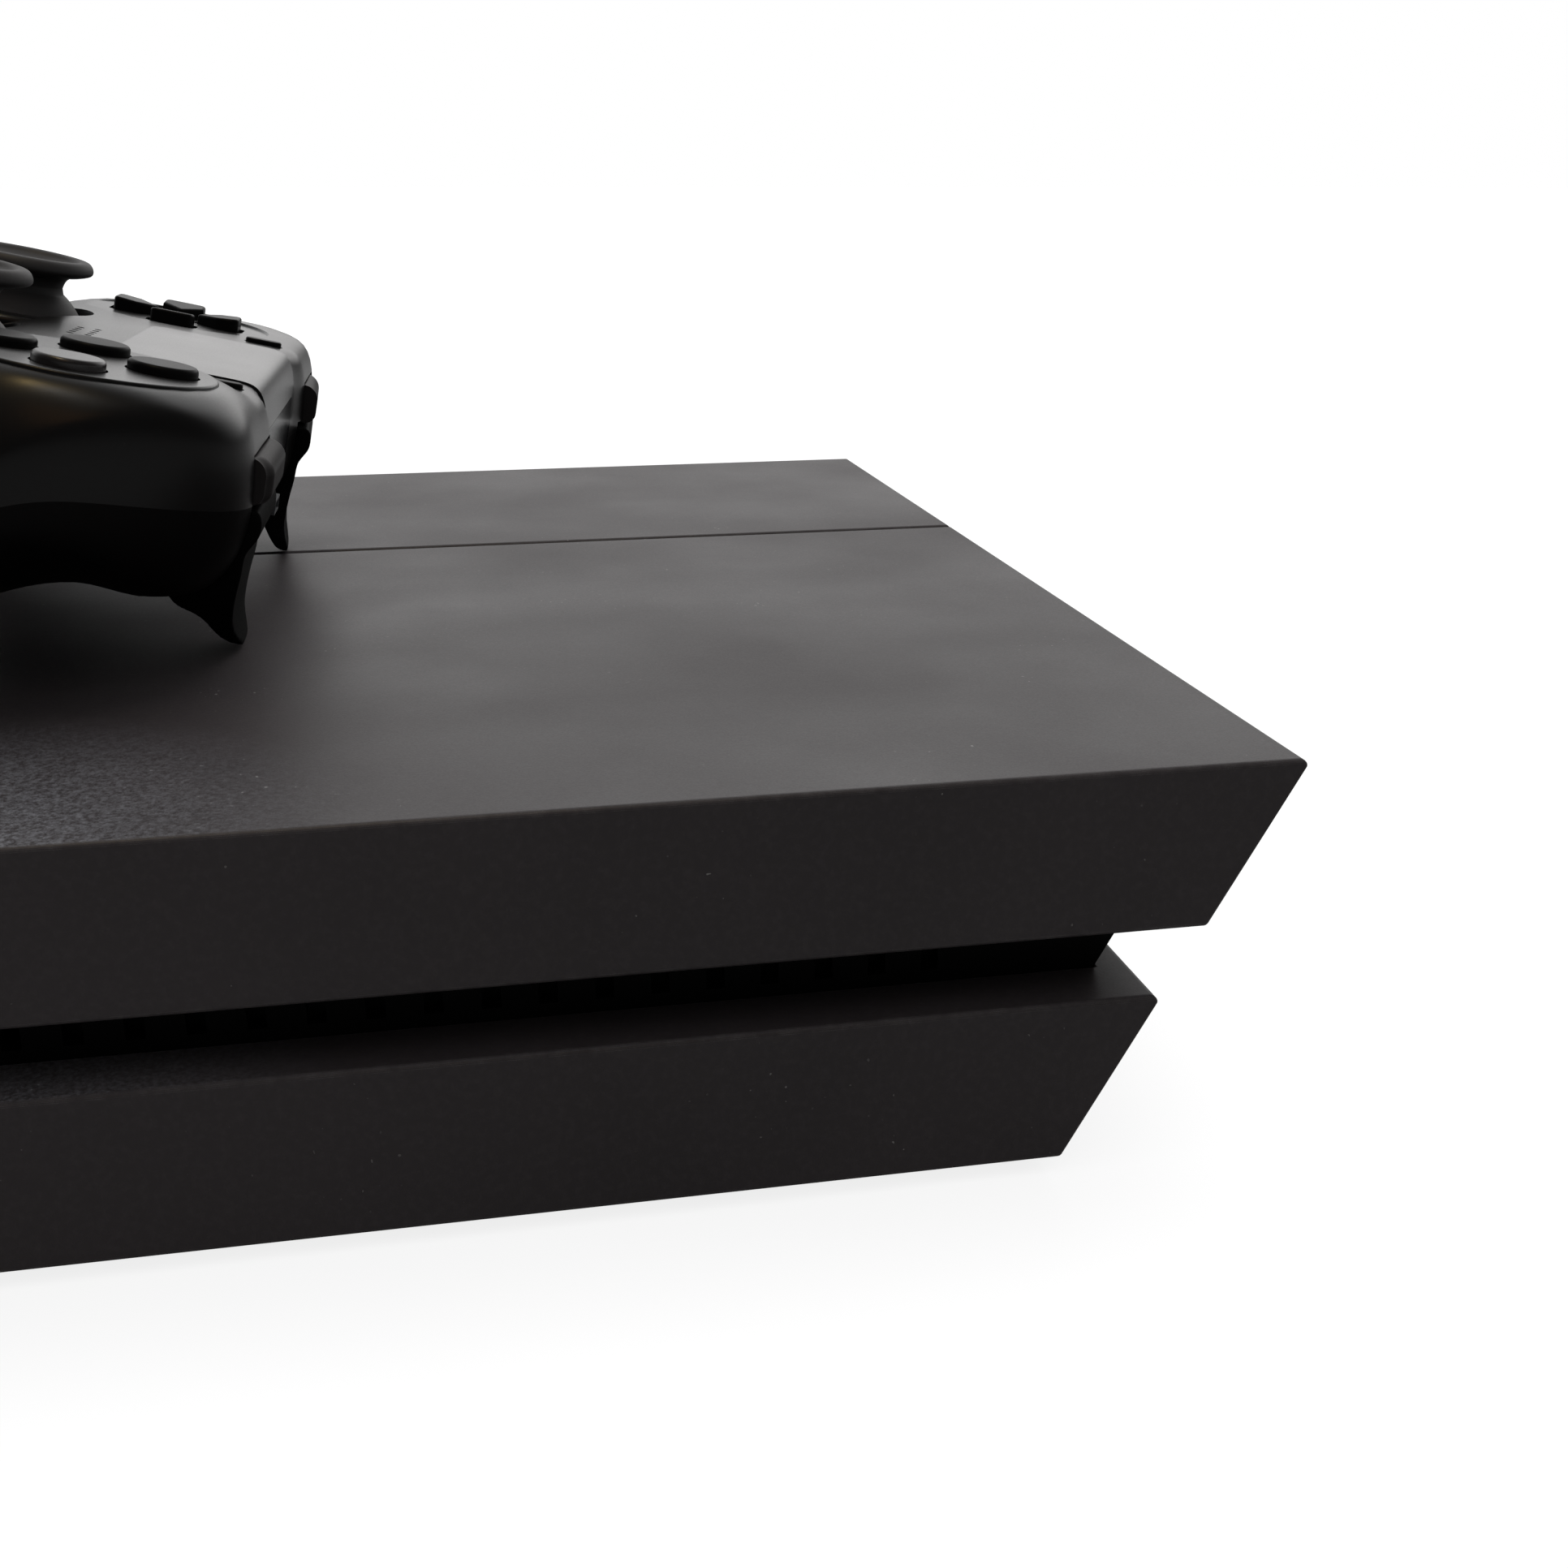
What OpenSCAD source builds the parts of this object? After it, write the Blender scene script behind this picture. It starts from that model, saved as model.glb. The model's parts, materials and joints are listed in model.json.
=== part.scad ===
// Slope-sided home game console with its wireless controller resting on the lid.
// Millimetres. +Z up, Z0 is the table, front edge of the lid faces -Y, disc side is -X.
// The controller is drawn in its own frame (u right, v forward, w off the face) and placed last.

/* [Console housing] */
// Width over both sides
console_w = 275; // [250:1:300]
// Depth of the lid from front edge to back edge
lid_depth = 274; // [255:0.5:290]
// How far the front and back faces lean over the full height
lean = 32.25; // [20:0.25:36]
// Height of the housing without its feet
housing_h = 53; // [50:0.5:60]
// Height of the feet
foot_h = 2; // [1.5:0.5:4]
// Height of the upper band, from the recess to the lid
upper_h = 21.9; // [20:0.1:24]
// Height of the black recess between the two bands
recess_h = 9; // [8:0.1:10]
// Depth of the recess on the two sides
recess_side = 11.5; // [9:0.1:13]
// Depth of the recess at the front and the back
recess_front = 5.5; // [4.5:0.1:7]
// Wall of the outer covers
wall = 2.5; // [2:0.1:3]
// Thickness of the flanges that turn in under the covers
flange_t = 2; // [1.5:0.1:2.5]
// Rounding of the long outer edges
edge_r = 0.8; // [0.4:0.1:1.2]
// Side length of a rubber foot
foot_size = 16; // [12:1:22]

/* [Lid split and drive cover] */
// Left edge of the groove that splits the lid, from the middle
groove_x = 36.7; // [30:0.1:42]
// Width of that groove
groove_w = 1.5; // [1:0.1:2]
// Length of the status light in the groove
light_len = 92; // [60:1:120]
// Width of a front button
key_w = 2.8; // [2.4:0.1:4]
// Height of a front button
key_h = 14; // [10:0.5:16]
// Depth of a front button
key_d = 3.2; // [3:0.1:4]
// Gap between the groove and a front button
key_margin = 1.3; // [1:0.1:3]

/* [Disc drive] */
// Width of the disc slot
slot_w = 124; // [122:1:130]
// Height of the disc slot
slot_h = 3.2; // [2.5:0.1:4]
// Width of the drive
drive_w = 142; // [138:1:148]
// Depth of the drive
drive_d = 132; // [128:1:136]
// Radius of the disc hub
hub_r = 11; // [9:0.5:14]
// Radius of the feed roller
roller_r = 2.6; // [2:0.1:3]

/* [Cooling] */
// Outer radius of the fan housing
fan_r = 38; // [34:0.5:40]
// Number of fan blades
fan_blades = 23; // [15:2:29]
// Number of heat sink fins
fin_count = 18; // [12:1:22]
// Number of vent slits in one side recess
side_vents = 30; // [20:1:34]
// Number of louvres across the back of the upper band
back_louvres = 4; // [3:1:5]

/* [Hard drive] */
// Width of the hard drive
hdd_w = 69.85; // [69:0.05:71]
// Length of the hard drive
hdd_l = 100; // [99:0.5:101]
// Height of the hard drive
hdd_h = 9.5; // [7:0.5:10]

/* [Controller shell] */
// Half the width over the grips
pad_half = 80.5; // [76:0.5:84]
// Front of the shell, ahead of the face centre
pad_front = 26.2; // [25:0.1:27.5]
// Back edge of the shell between the grips, behind the face centre
pad_waist = 40; // [38:0.5:44]
// Ends of the grips, behind the face centre
pad_reach = 72; // [68:0.5:74]
// How fast the underside drops along the grips
grip_drop = 0.505; // [0.48:0.005:0.52]
// Wall of the controller shell
pad_wall = 2.2; // [1.8:0.1:2.4]
// Nose-down tilt as the controller rests
pad_tilt = 12.5; // [11:0.1:14]
// Turn of the controller on the lid
pad_yaw = -2; // [-6:0.5:6]
// Place of the controller's face centre in depth
pad_y = -0.5; // [-4:0.5:4]
// Height of the controller's face centre above the lid
pad_lift = 43.4; // [43:0.1:48]

/* [Controller controls] */
// Distance of each button cluster from the middle
cluster_u = 54; // [52:0.5:56]
// Radius of the round panel under a cluster
plateau_r = 18.8; // [18:0.1:20]
// Height of that panel under the four face buttons
plateau_h = 2.4; // [1:0.1:2.6]
// Radius of the ring of four face buttons
ring_r = 11; // [10.6:0.1:12]
// Radius of a face button
button_r = 4.9; // [4.6:0.1:5.2]
// Height of a face button above the face
button_h = 3.9; // [3:0.1:4.2]
// Clearance round a sliding button
button_gap = 0.3; // [0.2:0.05:0.4]
// Distance of each stick from the middle
stick_u = 28; // [27:0.5:29]
// Distance of the sticks behind the face centre
stick_v = 24; // [23:0.5:25]
// Radius of a stick cap
cap_r = 11.8; // [11:0.1:12.5]
// Radius of the skirt ball under a stick cap
skirt_r = 11.8; // [11.2:0.1:12]
// Clearance between the skirt ball and its well
well_gap = 0.8; // [0.6:0.1:1]
// Width of the touch pad
touch_w = 56; // [50:1:60]
// Back edge of the touch pad, ahead of the face centre
touch_back = -1; // [-3:0.5:1]
// Width of a trigger
trigger_w = 26; // [24:0.5:27]
// Gap left under the trigger tips and the grips
rest_gap = 0.15; // [0.1:0.05:0.3]

/* [Hidden] */

// console levels and lines
z_low = foot_h;
z_top = foot_h + housing_h;
z_rec1 = z_top - upper_h;
z_rec0 = z_rec1 - recess_h;
x_side = console_w / 2;
y_edge = (lid_depth + lean) / 2;
fit = 0.3;
eps = 0.01;
frame_x = x_side - recess_side;
cover_x = groove_x + groove_w;
key_x = groove_x - key_margin - key_w;
key_travel = 0.8;

// inside the console
slot_z = (z_rec0 + z_rec1) / 2;
drive_h = 22;
drive_z = slot_z - drive_h / 2;
bay_x = frame_x - wall;
spare = 2 * bay_x - drive_w - 2 * fan_r;
drive_x = -bay_x + 0.155 * spare + drive_w / 2;
drive_y = front_y(z_rec0 - flange_t) + recess_front + wall + fit;
drive_skin = 1.2;
board_z = z_low + wall + 4.5;
board_t = 1.6;
board_x = x_side - 19.5;
board_y0 = -96;
board_y1 = 108;
screw_x = x_side - 29.5;
screw_at = [[-screw_x, -86], [screw_x, -86], [-screw_x, 98], [screw_x, 98]];
screw_r = 1.3;
cpu = [35, 35, 2.5];
cpu_at = [bay_x - 0.05 * spare - fan_r, 18];
sink_z = board_z + board_t + cpu[2];
sink_t = 2;
fin_y0 = cpu_at[1] + fan_r + 4;
fin_y1 = 110;
fan_z = sink_z + sink_t;
deck_z = z_rec1 + flange_t;
deck_t = 1.2;
fan_h = deck_z - fan_z - fit;
fan_skin = 1.6;
axle_r = 1.5;
caddy_t = 1;
caddy_w = hdd_w + 2 * caddy_t + 1;
caddy_at = [(cover_x + frame_x - caddy_w) / 2, -122];
foot_at = [[-board_x, -100], [board_x, -100], [-board_x, 128], [board_x, 128]];
psu = [142, 66, 30];
psu_foot = 3;
psu_at = [-bay_x + 0.39 * spare, 34, board_z + board_t + psu_foot];
port_z = 13;
inlet_x = -x_side + 37.5;
inlet_r = 6;
port_list = [[-52, 15, 5], [-20, 9, 7], [14, 12.4, 8], [46, 10, 9]];
port_d = 16;
usb_x = [x_side - 73.5, x_side - 41.5];
usb = [13.2, 14, 5.8];

// controller landmarks
pad_side_v = -21;
pad_corner = 58;
nose_dip = 1.6;
lens_w = 54;
lens_low = -20;
lens_high = -7.6;
touch_low = -7;
seam_gap = 0.1;
pcb_w = -15;
pcb_t = 1.2;
stick_w = -7;
ball_t = 1.2;
cap_top = [15.6, 17.4];
well_r = skirt_r + well_gap;
dpad_reach = 11.4;
dpad_arm = 7.6;
dpad_gap = 0.8;
dpad_base_w = -4.8;
dpad_base_t = 1.2;
dpad_top = 2;
dish_depth = 0.4;
dish_r = 16.5;
mat_w = -7.8;
mat_t = 1;
mat_r = 15.5;
key_base_w = -5.2;
bumper_u = [38.2, 60.4];
bumper_w = [-13.3, -6.3];
bumper_proud = 2.2;
bumper_d = 7;
bumper_gap = 0.5;
trigger_u = 47.5;
tip_v = 26.3;
tip_w = tip_v * tan(pad_tilt) - (pad_lift - rest_gap) / cos(pad_tilt);
hinge_v = 22.5;
hinge_w = -18.2;
hinge_r = 3.4;
trigger_pin_r = 1.2;
motor_at = [58, -30, -28];
motor_r = 9;
boss_at = [50, -50];
boss_w = -37.8;
screw_w = under_w(boss_at[0], boss_at[1], 0) + 4;
pill = [2.6, 6.4];
pill_at = [36, 17.5];
home_r = 5.7;
pcb_size = [132, 25];
pcb_tail = [76, 30];
frame_size = [80, 44];
frame_nose = [44, 20];
frame_w = pcb_w - pcb_t;
frame_t = 1.5;
battery = [36, 42, 7];

// ---------- console helpers ----------
function lean_at(z) = lean * (z - z_low) / housing_h;
function front_y(z) = -y_edge + lean - lean_at(z);
function back_y(z) = y_edge - lean_at(z);
function arc_pts(c, r, a0, a1, n = 6) =
  [for (i = [0:n]) c + r * [cos(a0 + (a1 - a0) * i / n), sin(a0 + (a1 - a0) * i / n)]];

// prism along X whose outline in Y and Z leans with the housing
module lean_slab(x0, x1, z0, z1, front = 0, back = 0)
  translate([x0, 0, 0]) rotate([90, 0, 90]) linear_extrude(x1 - x0)
    polygon([[front_y(z0) + front, z0], [back_y(z0) - back, z0],
             [back_y(z1) - back, z1], [front_y(z1) + front, z1]]);

// the same prism with its four long edges rounded
module soft_slab(x0, x1, z0, z1) {
  a = atan(lean / housing_h);
  r = edge_r;
  near = r * tan((90 - a) / 2);
  far = r * tan((90 + a) / 2);
  intersection() {
    translate([x0, 0, 0]) rotate([90, 0, 90]) linear_extrude(x1 - x0)
      polygon(concat(
        arc_pts([front_y(z0 + r) + r / cos(a), z0 + r], r, 180 + a, 270),
        arc_pts([back_y(z0 + r) - r / cos(a), z0 + r], r, 270, 360 + a),
        arc_pts([back_y(z1 - r) - r / cos(a), z1 - r], r, a, 90),
        arc_pts([front_y(z1 - r) + r / cos(a), z1 - r], r, 90, 180 + a)));
    translate([0, y_edge + 1, 0]) rotate([90, 0, 0]) linear_extrude(2 * y_edge + 2)
      round_rect(x0, x1, z0, z1, r);
  }
}

module round_rect(x0, x1, y0, y1, r)
  polygon(concat(
    arc_pts([x0 + r, y0 + r], r, 180, 270), arc_pts([x1 - r, y0 + r], r, 270, 360),
    arc_pts([x1 - r, y1 - r], r, 0, 90), arc_pts([x0 + r, y1 - r], r, 90, 180)));

module block(x0, x1, y0, y1, z0, z1)
  translate([x0, y0, z0]) cube([x1 - x0, y1 - y0, z1 - z0]);

module ring(r, hole, h) difference() {
  cylinder(r = r, h = h, $fn = 48);
  translate([0, 0, -1]) cylinder(r = hole, h = h + 2, $fn = 48);
}

// slot through the front wall for a slim button
module key_slot(z)
  lean_slab(key_x - fit, key_x + key_w + fit, z - key_h / 2 - fit, z + key_h / 2 + fit, -1,
            lid_depth - key_d - key_travel - fit);

// front button with one retaining lip behind the wall
module front_key(z) {
  lean_slab(key_x, key_x + key_w, z - key_h / 2, z + key_h / 2, 0, lid_depth - key_d);
  lean_slab(key_x - 1.2, key_x + 1, z - key_h / 2 + 1, z + key_h / 2 - 1, wall + fit,
            lid_depth - wall - fit - 1.4);
}

// ---------- console covers ----------
module top_cover() color("#4a4645") difference() {
  soft_slab(-x_side, groove_x, z_rec1, z_top);
  lean_slab(-x_side + wall, groove_x - wall, z_rec1 + flange_t, z_top - wall, wall, wall);
  lean_slab(-x_side + recess_side - fit, groove_x + 1, z_rec1 - 1, z_rec1 + flange_t + eps,
            recess_front - fit, recess_front - fit);
  key_slot((z_rec1 + z_top) / 2);
  back_louvre_cuts(-x_side + 14, groove_x - 14);
}

module hdd_cover() color("#4a4645") difference() {
  soft_slab(cover_x, x_side, z_rec1, z_top);
  lean_slab(cover_x - 1, x_side - wall, z_rec1 + flange_t, z_top - wall, wall, wall);
  lean_slab(cover_x - 1, x_side - recess_side + fit, z_rec1 - 1, z_rec1 + flange_t + eps,
            recess_front - fit, recess_front - fit);
}

module back_louvre_cuts(x0, x1) {
  band = upper_h - 2 * wall - 3;
  step = band / back_louvres;
  for (i = [0:back_louvres - 1])
    let (z = z_rec1 + flange_t + 1.5 + step * i)
      lean_slab(x0, x1, z + step * 0.2, z + step * 0.8, lid_depth - wall - 1, -1);
}

module bottom_cover() color("#403d3c") difference() {
  union() {
    difference() {
      soft_slab(-x_side, x_side, z_low, z_rec0);
      lean_slab(-x_side + wall, x_side - wall, z_low + wall, z_rec0 - flange_t, wall, wall);
      lean_slab(-x_side + recess_side - fit, x_side - recess_side + fit, z_rec0 - flange_t - eps,
                z_rec0 + 1, recess_front - fit, recess_front - fit);
    }
    for (p = screw_at) translate([p[0], p[1], z_low + eps])
      cylinder(r = 4.5, h = board_z - z_low - eps, $fn = 48);
  }
  key_slot((z_low + z_rec0) / 2);
  for (p = screw_at) translate([p[0], p[1], 0]) {
    cylinder(r = screw_r + 0.15, h = board_z + 1, $fn = 32);
    cylinder(r = 3.3, h = z_low + 2.4, $fn = 32);
  }
  port_cuts();
  for (s = [-1, 1], i = [0:5])
    block(s * 78 - 27, s * 78 + 27, -44 + i * 9, -41 + i * 9, z_low - 1, z_low + wall + 1);
}

// black band that joins the two covers and carries the slot, the vents and the sockets
module mid_frame() color("#141414") difference() {
  lean_slab(-frame_x, frame_x, z_rec0 - flange_t, z_rec1 + flange_t, recess_front, recess_front);
  lean_slab(-frame_x + wall, frame_x - wall, z_rec0 - flange_t - 1, z_rec1 + flange_t + 1,
            recess_front + wall, recess_front + wall);
  block(drive_x - slot_w / 2, drive_x + slot_w / 2, -y_edge, drive_y + 1, slot_z - slot_h / 2,
        slot_z + slot_h / 2);
  for (x = usb_x) block(x - usb[0] / 2 - fit, x + usb[0] / 2 + fit, -y_edge, 0,
                        slot_z - usb[2] / 2 - fit, slot_z + usb[2] / 2 + fit);
  pitch = (lid_depth - 60) / side_vents;
  for (i = [0:side_vents - 1])
    block(-x_side, x_side, front_y(slot_z) + 30 + pitch * i, front_y(slot_z) + 32.4 + pitch * i,
          z_rec0 + 1.6, z_rec1 - 1.6);
}

module power_button() color("#2b2a2a") front_key((z_rec1 + z_top) / 2);
module eject_button() color("#2b2a2a") front_key((z_low + z_rec0) / 2);

module status_light() color("#7b7f86")
  block(groove_x, groove_x + groove_w - fit, front_y(z_top) + 1.5, front_y(z_top) + 1.5 + light_len,
        z_top - 4, z_top - 0.7);

// ---------- console inside ----------
module disc_drive() color("#8d9094") difference() {
  x0 = drive_x - drive_w / 2;
  block(x0, x0 + drive_w, drive_y, drive_y + drive_d, drive_z, drive_z + drive_h);
  block(x0 + drive_skin, x0 + drive_w - drive_skin, drive_y + drive_skin,
        drive_y + drive_d - drive_skin, drive_z + 6, drive_z + drive_h - drive_skin);
  block(drive_x - slot_w / 2, drive_x + slot_w / 2, drive_y - 1, drive_y + 6, slot_z - slot_h / 2,
        slot_z + slot_h / 2);
  translate([drive_x, drive_y + drive_d / 2, drive_z + 1]) cylinder(r = 2.2, h = 10, $fn = 32);
}

module disc_hub() color("#d7d7d2") translate([drive_x, drive_y + drive_d / 2, 0]) {
  translate([0, 0, drive_z + 1.3]) cylinder(r = 2, h = 6, $fn = 32);
  translate([0, 0, drive_z + 6 + fit]) cylinder(r = hub_r, h = 2, $fn = 48);
  difference() {
    translate([0, 0, drive_z + 8 + fit]) cylinder(r = 7.3, h = 1.4, $fn = 48);
    for (a = [0:120:240]) rotate(a) translate([7.3, 0, drive_z]) cylinder(r = 1.2, h = 12, $fn = 24);
  }
}

module feed_roller() color("#26282b")
  translate([drive_x, drive_y + 9, drive_z + 6 + fit + roller_r]) rotate([0, 90, 0]) {
    cylinder(r = 1, h = drive_w - 2 * drive_skin - 2 * fit, center = true, $fn = 32);
    for (s = [-1, 1]) mirror([0, 0, s > 0 ? 0 : 1]) rotate_extrude($fn = 48)
      polygon([[0, 3], [roller_r - 0.9, 3], [roller_r, slot_w / 2 - 3], [0, slot_w / 2 - 3]]);
  }

module power_supply() color("#2e3033") translate(psu_at) {
  difference() {
    cube(psu);
    for (i = [0:11], y = [-1, psu[1] - 3]) translate([12 + i * 11, y, 6]) cube([5, 4, psu[2] - 12]);
  }
  for (x = [8, psu[0] - 8], y = [8, psu[1] - 8]) translate([x, y, -psu_foot])
    cylinder(r = 4, h = psu_foot + 1, $fn = 32);
}

module inlet_outline(r) {
  for (s = [-1, 1]) translate([s * 4, 0]) circle(r = r, $fn = 48);
  translate([-4, -r]) square([8, 2 * r]);
}

module port_cuts() {
  translate([inlet_x, back_y(port_z) - 12, port_z]) rotate([-90, 0, 0]) linear_extrude(40)
    inlet_outline(inlet_r + fit);
  for (p = port_list)
    block(p[0] - p[1] / 2 - fit, p[0] + p[1] / 2 + fit, back_y(port_z) - 12, y_edge + 1,
          port_z - p[2] / 2 - fit, port_z + p[2] / 2 + fit);
  for (i = [0:6]) block(72 + i * 7, 75.5 + i * 7, back_y(port_z) - 12, y_edge + 1, 6.5, 19);
}

module ac_inlet() color("#1b1b1c")
  translate([inlet_x, back_y(port_z) - port_d, port_z]) {
    rotate([-90, 0, 0]) difference() {
      linear_extrude(port_d - 2.5) inlet_outline(inlet_r);
      translate([0, 0, 3]) linear_extrude(port_d) inlet_outline(inlet_r - 1.2);
    }
    for (s = [-1, 1]) translate([s * 4, 2, 0]) rotate([-90, 0, 0])
      cylinder(r = 1.2, h = port_d - 6, $fn = 32);
  }

module back_ports() color("#9a9a98")
  for (p = port_list) translate([p[0], back_y(port_z) - port_d, port_z]) difference() {
    block(-p[1] / 2, p[1] / 2, 0, port_d - 3, -p[2] / 2, p[2] / 2);
    block(-p[1] / 2 + 0.8, p[1] / 2 - 0.8, 2, port_d, -p[2] / 2 + 0.8, p[2] / 2 - 0.8);
  }

module usb_ports() color("#b9bbbd")
  for (x = usb_x) translate([x, front_y(slot_z) + recess_front + 0.4, slot_z]) {
    difference() {
      block(-usb[0] / 2, usb[0] / 2, 0, usb[1], -usb[2] / 2, usb[2] / 2);
      block(-usb[0] / 2 + 0.5, usb[0] / 2 - 0.5, -1, usb[1] - 1, -usb[2] / 2 + 0.5, usb[2] / 2 - 0.5);
    }
    block(-5.2, 5.2, 1, usb[1] - 0.5, 0.3, 2);
  }

module main_board() color("#1f4a33") difference() {
  block(-board_x, board_x, board_y0, board_y1, board_z, board_z + board_t);
  for (p = screw_at) translate([p[0], p[1], board_z - 1])
    cylinder(r = screw_r + 0.15, h = board_t + 2, $fn = 32);
}

module processor() color("#55585c") {
  translate([cpu_at[0] - cpu[0] / 2, cpu_at[1] - cpu[1] / 2, board_z + board_t]) cube([cpu[0], cpu[1], 1]);
  translate([cpu_at[0] - 12, cpu_at[1] - 12, board_z + board_t + 1]) cube([24, 24, cpu[2] - 1]);
}

module heat_sink() color("#b4b6b8") {
  w = 2 * fan_r;
  x0 = cpu_at[0] - fan_r;
  block(x0, x0 + w, cpu_at[1] - fan_r, fin_y1, sink_z, sink_z + sink_t);
  for (i = [0:fin_count - 1])
    block(x0 + (w - 1) * i / (fin_count - 1), x0 + (w - 1) * i / (fin_count - 1) + 1, fin_y0, fin_y1,
          sink_z + sink_t - eps, deck_z - fit);
}

module fan_housing() color("#232425") translate([cpu_at[0], cpu_at[1], fan_z]) {
  difference() {
    union() {
      cylinder(r = fan_r, h = fan_h, $fn = 96);
      translate([0, 0, 0]) cube([fan_r, fan_r + 3, fan_h]);
    }
    translate([0, 0, fan_skin]) cylinder(r = fan_r - fan_skin, h = fan_h - 2 * fan_skin, $fn = 96);
    translate([0, 0, fan_skin]) cylinder(r = fan_r * 0.6, h = fan_h, $fn = 96);
    translate([fan_skin, 0, fan_skin]) cube([fan_r - 2 * fan_skin, fan_r + 4, fan_h - 2 * fan_skin]);
  }
  cylinder(r = axle_r, h = fan_h - 3, $fn = 32);
}

module fan_rotor() color("#303234") translate([cpu_at[0], cpu_at[1], fan_z]) difference() {
  union() {
    translate([0, 0, fan_skin + 0.6]) cylinder(r = 31, h = 1, $fn = 96);
    translate([0, 0, fan_skin + 0.6]) cylinder(r = 10, h = fan_h - 6, $fn = 64);
    for (i = [0:fan_blades - 1]) rotate(360 * i / fan_blades) translate([17, 0, fan_skin + 0.6])
      rotate(32) cube([16, 0.9, fan_h - 6]);
  }
  cylinder(r = axle_r + 0.15, h = fan_h, $fn = 32);
}

module drive_deck() color("#7e8184") difference() {
  lean_slab(cover_x + fit, frame_x - fit, deck_z, deck_z + deck_t, wall + fit, wall + fit);
  translate([cpu_at[0], cpu_at[1], deck_z - 1]) cylinder(r = fan_r * 0.6, h = deck_t + 2, $fn = 96);
}

module hdd_caddy() color("#a5a7a9") translate([caddy_at[0], caddy_at[1], deck_z + deck_t]) difference() {
  cube([caddy_w, hdd_l + 4, hdd_h + caddy_t - 1]);
  translate([caddy_t, caddy_t, caddy_t]) cube([hdd_w + 1, hdd_l + 8, hdd_h]);
}

module hard_drive() color("#c3c4c5")
  translate([caddy_at[0] + caddy_t + 0.5, caddy_at[1] + caddy_t + 0.5, deck_z + deck_t + caddy_t]) {
    cube([hdd_w, hdd_l, hdd_h - 1.2]);
    translate([3, 3, 0]) cube([hdd_w - 6, hdd_l - 6, hdd_h - 0.4]);
    translate([hdd_w / 2, hdd_l * 0.62, 0]) cylinder(r = 30, h = hdd_h, $fn = 64);
  }

module rubber_feet() color("#1a1a1a") for (p = foot_at) translate([p[0], p[1], 0])
  linear_extrude(foot_h) round_rect(-foot_size / 2, foot_size / 2, -foot_size / 2, foot_size / 2, 2);

module case_screws() color("#77797b") for (p = screw_at) translate([p[0], p[1], 0]) {
  difference() {
    translate([0, 0, z_low + 0.4]) cylinder(r = 3, h = 2, $fn = 32);
    translate([0, 0, z_low]) cylinder(r = 1.4, h = 1.4, $fn = 6);
  }
  translate([0, 0, z_low + 2.4 - eps]) cylinder(r = screw_r, h = board_z + board_t - z_low - 2.4, $fn = 32);
}

// ---------- controller form ----------
function ease(x) = let (t = min(1, max(0, x))) t * t * (3 - 2 * t);
function mix(a, b, t) = a * (1 - t) + b * t;
function falloff(x, p, q) = pow(max(0, 1 - pow(min(1, max(0, x)), p)), 1 / q);
function in_grip(a) = ease((a - 26) / 18);
function corner(a, off) = falloff((a - pad_corner) / (pad_half - off - pad_corner), 2.5, 2.5);
// front and back edge of the shell at a distance a from the middle, inset by off
function edge_front(a, off) =
  mix(pad_side_v, pad_front - off, corner(a, off)) - nose_dip * (1 - ease((a - 28) / 10));
function edge_back(a, off) =
  mix(pad_side_v, off - mix(pad_waist, pad_reach, ease((a - 26) / 30)), corner(a, off));
// height of the face, of the underside and of the seam
function face_w(v, off) = -off - 32 * pow(max(0, -12 - v) / 48, 1.7);
function slump(v) = (sqrt(v * v + 36) - v) / 2;
function under_w(a, v, off) =
  off + mix(-28 - 3 * min(1, max(0, (v + 40) / 50)),
            -31 - grip_drop * slump(v) - 1.6 * ease((v - 3) / 10), in_grip(a));
function seam_w(a, v) = mix(-15.5, -13 - 0.5 * slump(v), in_grip(a));
// how far the face swells up, slightly crowned, to the panel under the face buttons
function swell(u, v) = let (r = norm([u - cluster_u, v]))
  (plateau_h - 0.3 - 0.006 * r) * (1 - ease((r - plateau_r + 0.5) / 8));
// how full the section is, towards its two ends and towards the sides of the controller
function end_fill(a, t, nose = 28) = falloff(abs(t), t > 0 ? nose : mix(9, 3.5, in_grip(a)), 2);
function side_fill(a, v, off, start, grip_start) =
  let (s = mix(start, grip_start, ease((-v - 2) / 34)))
    falloff((a - s) / (pad_half - off - s), 2.5, 2.2);
function sec_v(a, t, off) = mix(edge_back(a, off), edge_front(a, off), (t + 1) / 2);
function top_pt(u, t, off) = let (a = abs(u), v = sec_v(a, t, off), m = seam_w(a, v))
  [u, v, m + (face_w(v, off) + swell(u, v) - m) * end_fill(a, t) * side_fill(a, v, off, 70.5, 52)];
function low_pt(u, t, off) = let (a = abs(u), v = sec_v(a, t, off), m = seam_w(a, v))
  [u, v, m - (m - under_w(a, v, off)) * end_fill(a, t, 10) * side_fill(a, v, off, 22, 44)];
function seam_pt(u, t, off, d) = let (a = abs(u), v = sec_v(a, t, off))
  [u, v, seam_w(a, v) + d * min(1, 4 * end_fill(a, t) * side_fill(a, v, off, 70.5, 52))];

// ring of points round one section: along the top towards the front, back along the bottom
function section_ring(u, n, off, top, low) = concat(
  [for (i = [0:n]) let (t = -cos(180 * i / n)) top ? top_pt(u, t, off) : seam_pt(u, t, off, -seam_gap)],
  [for (i = [1:n - 1]) let (t = cos(180 * i / n)) low ? low_pt(u, t, off) : seam_pt(u, t, off, seam_gap)]);

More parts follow.
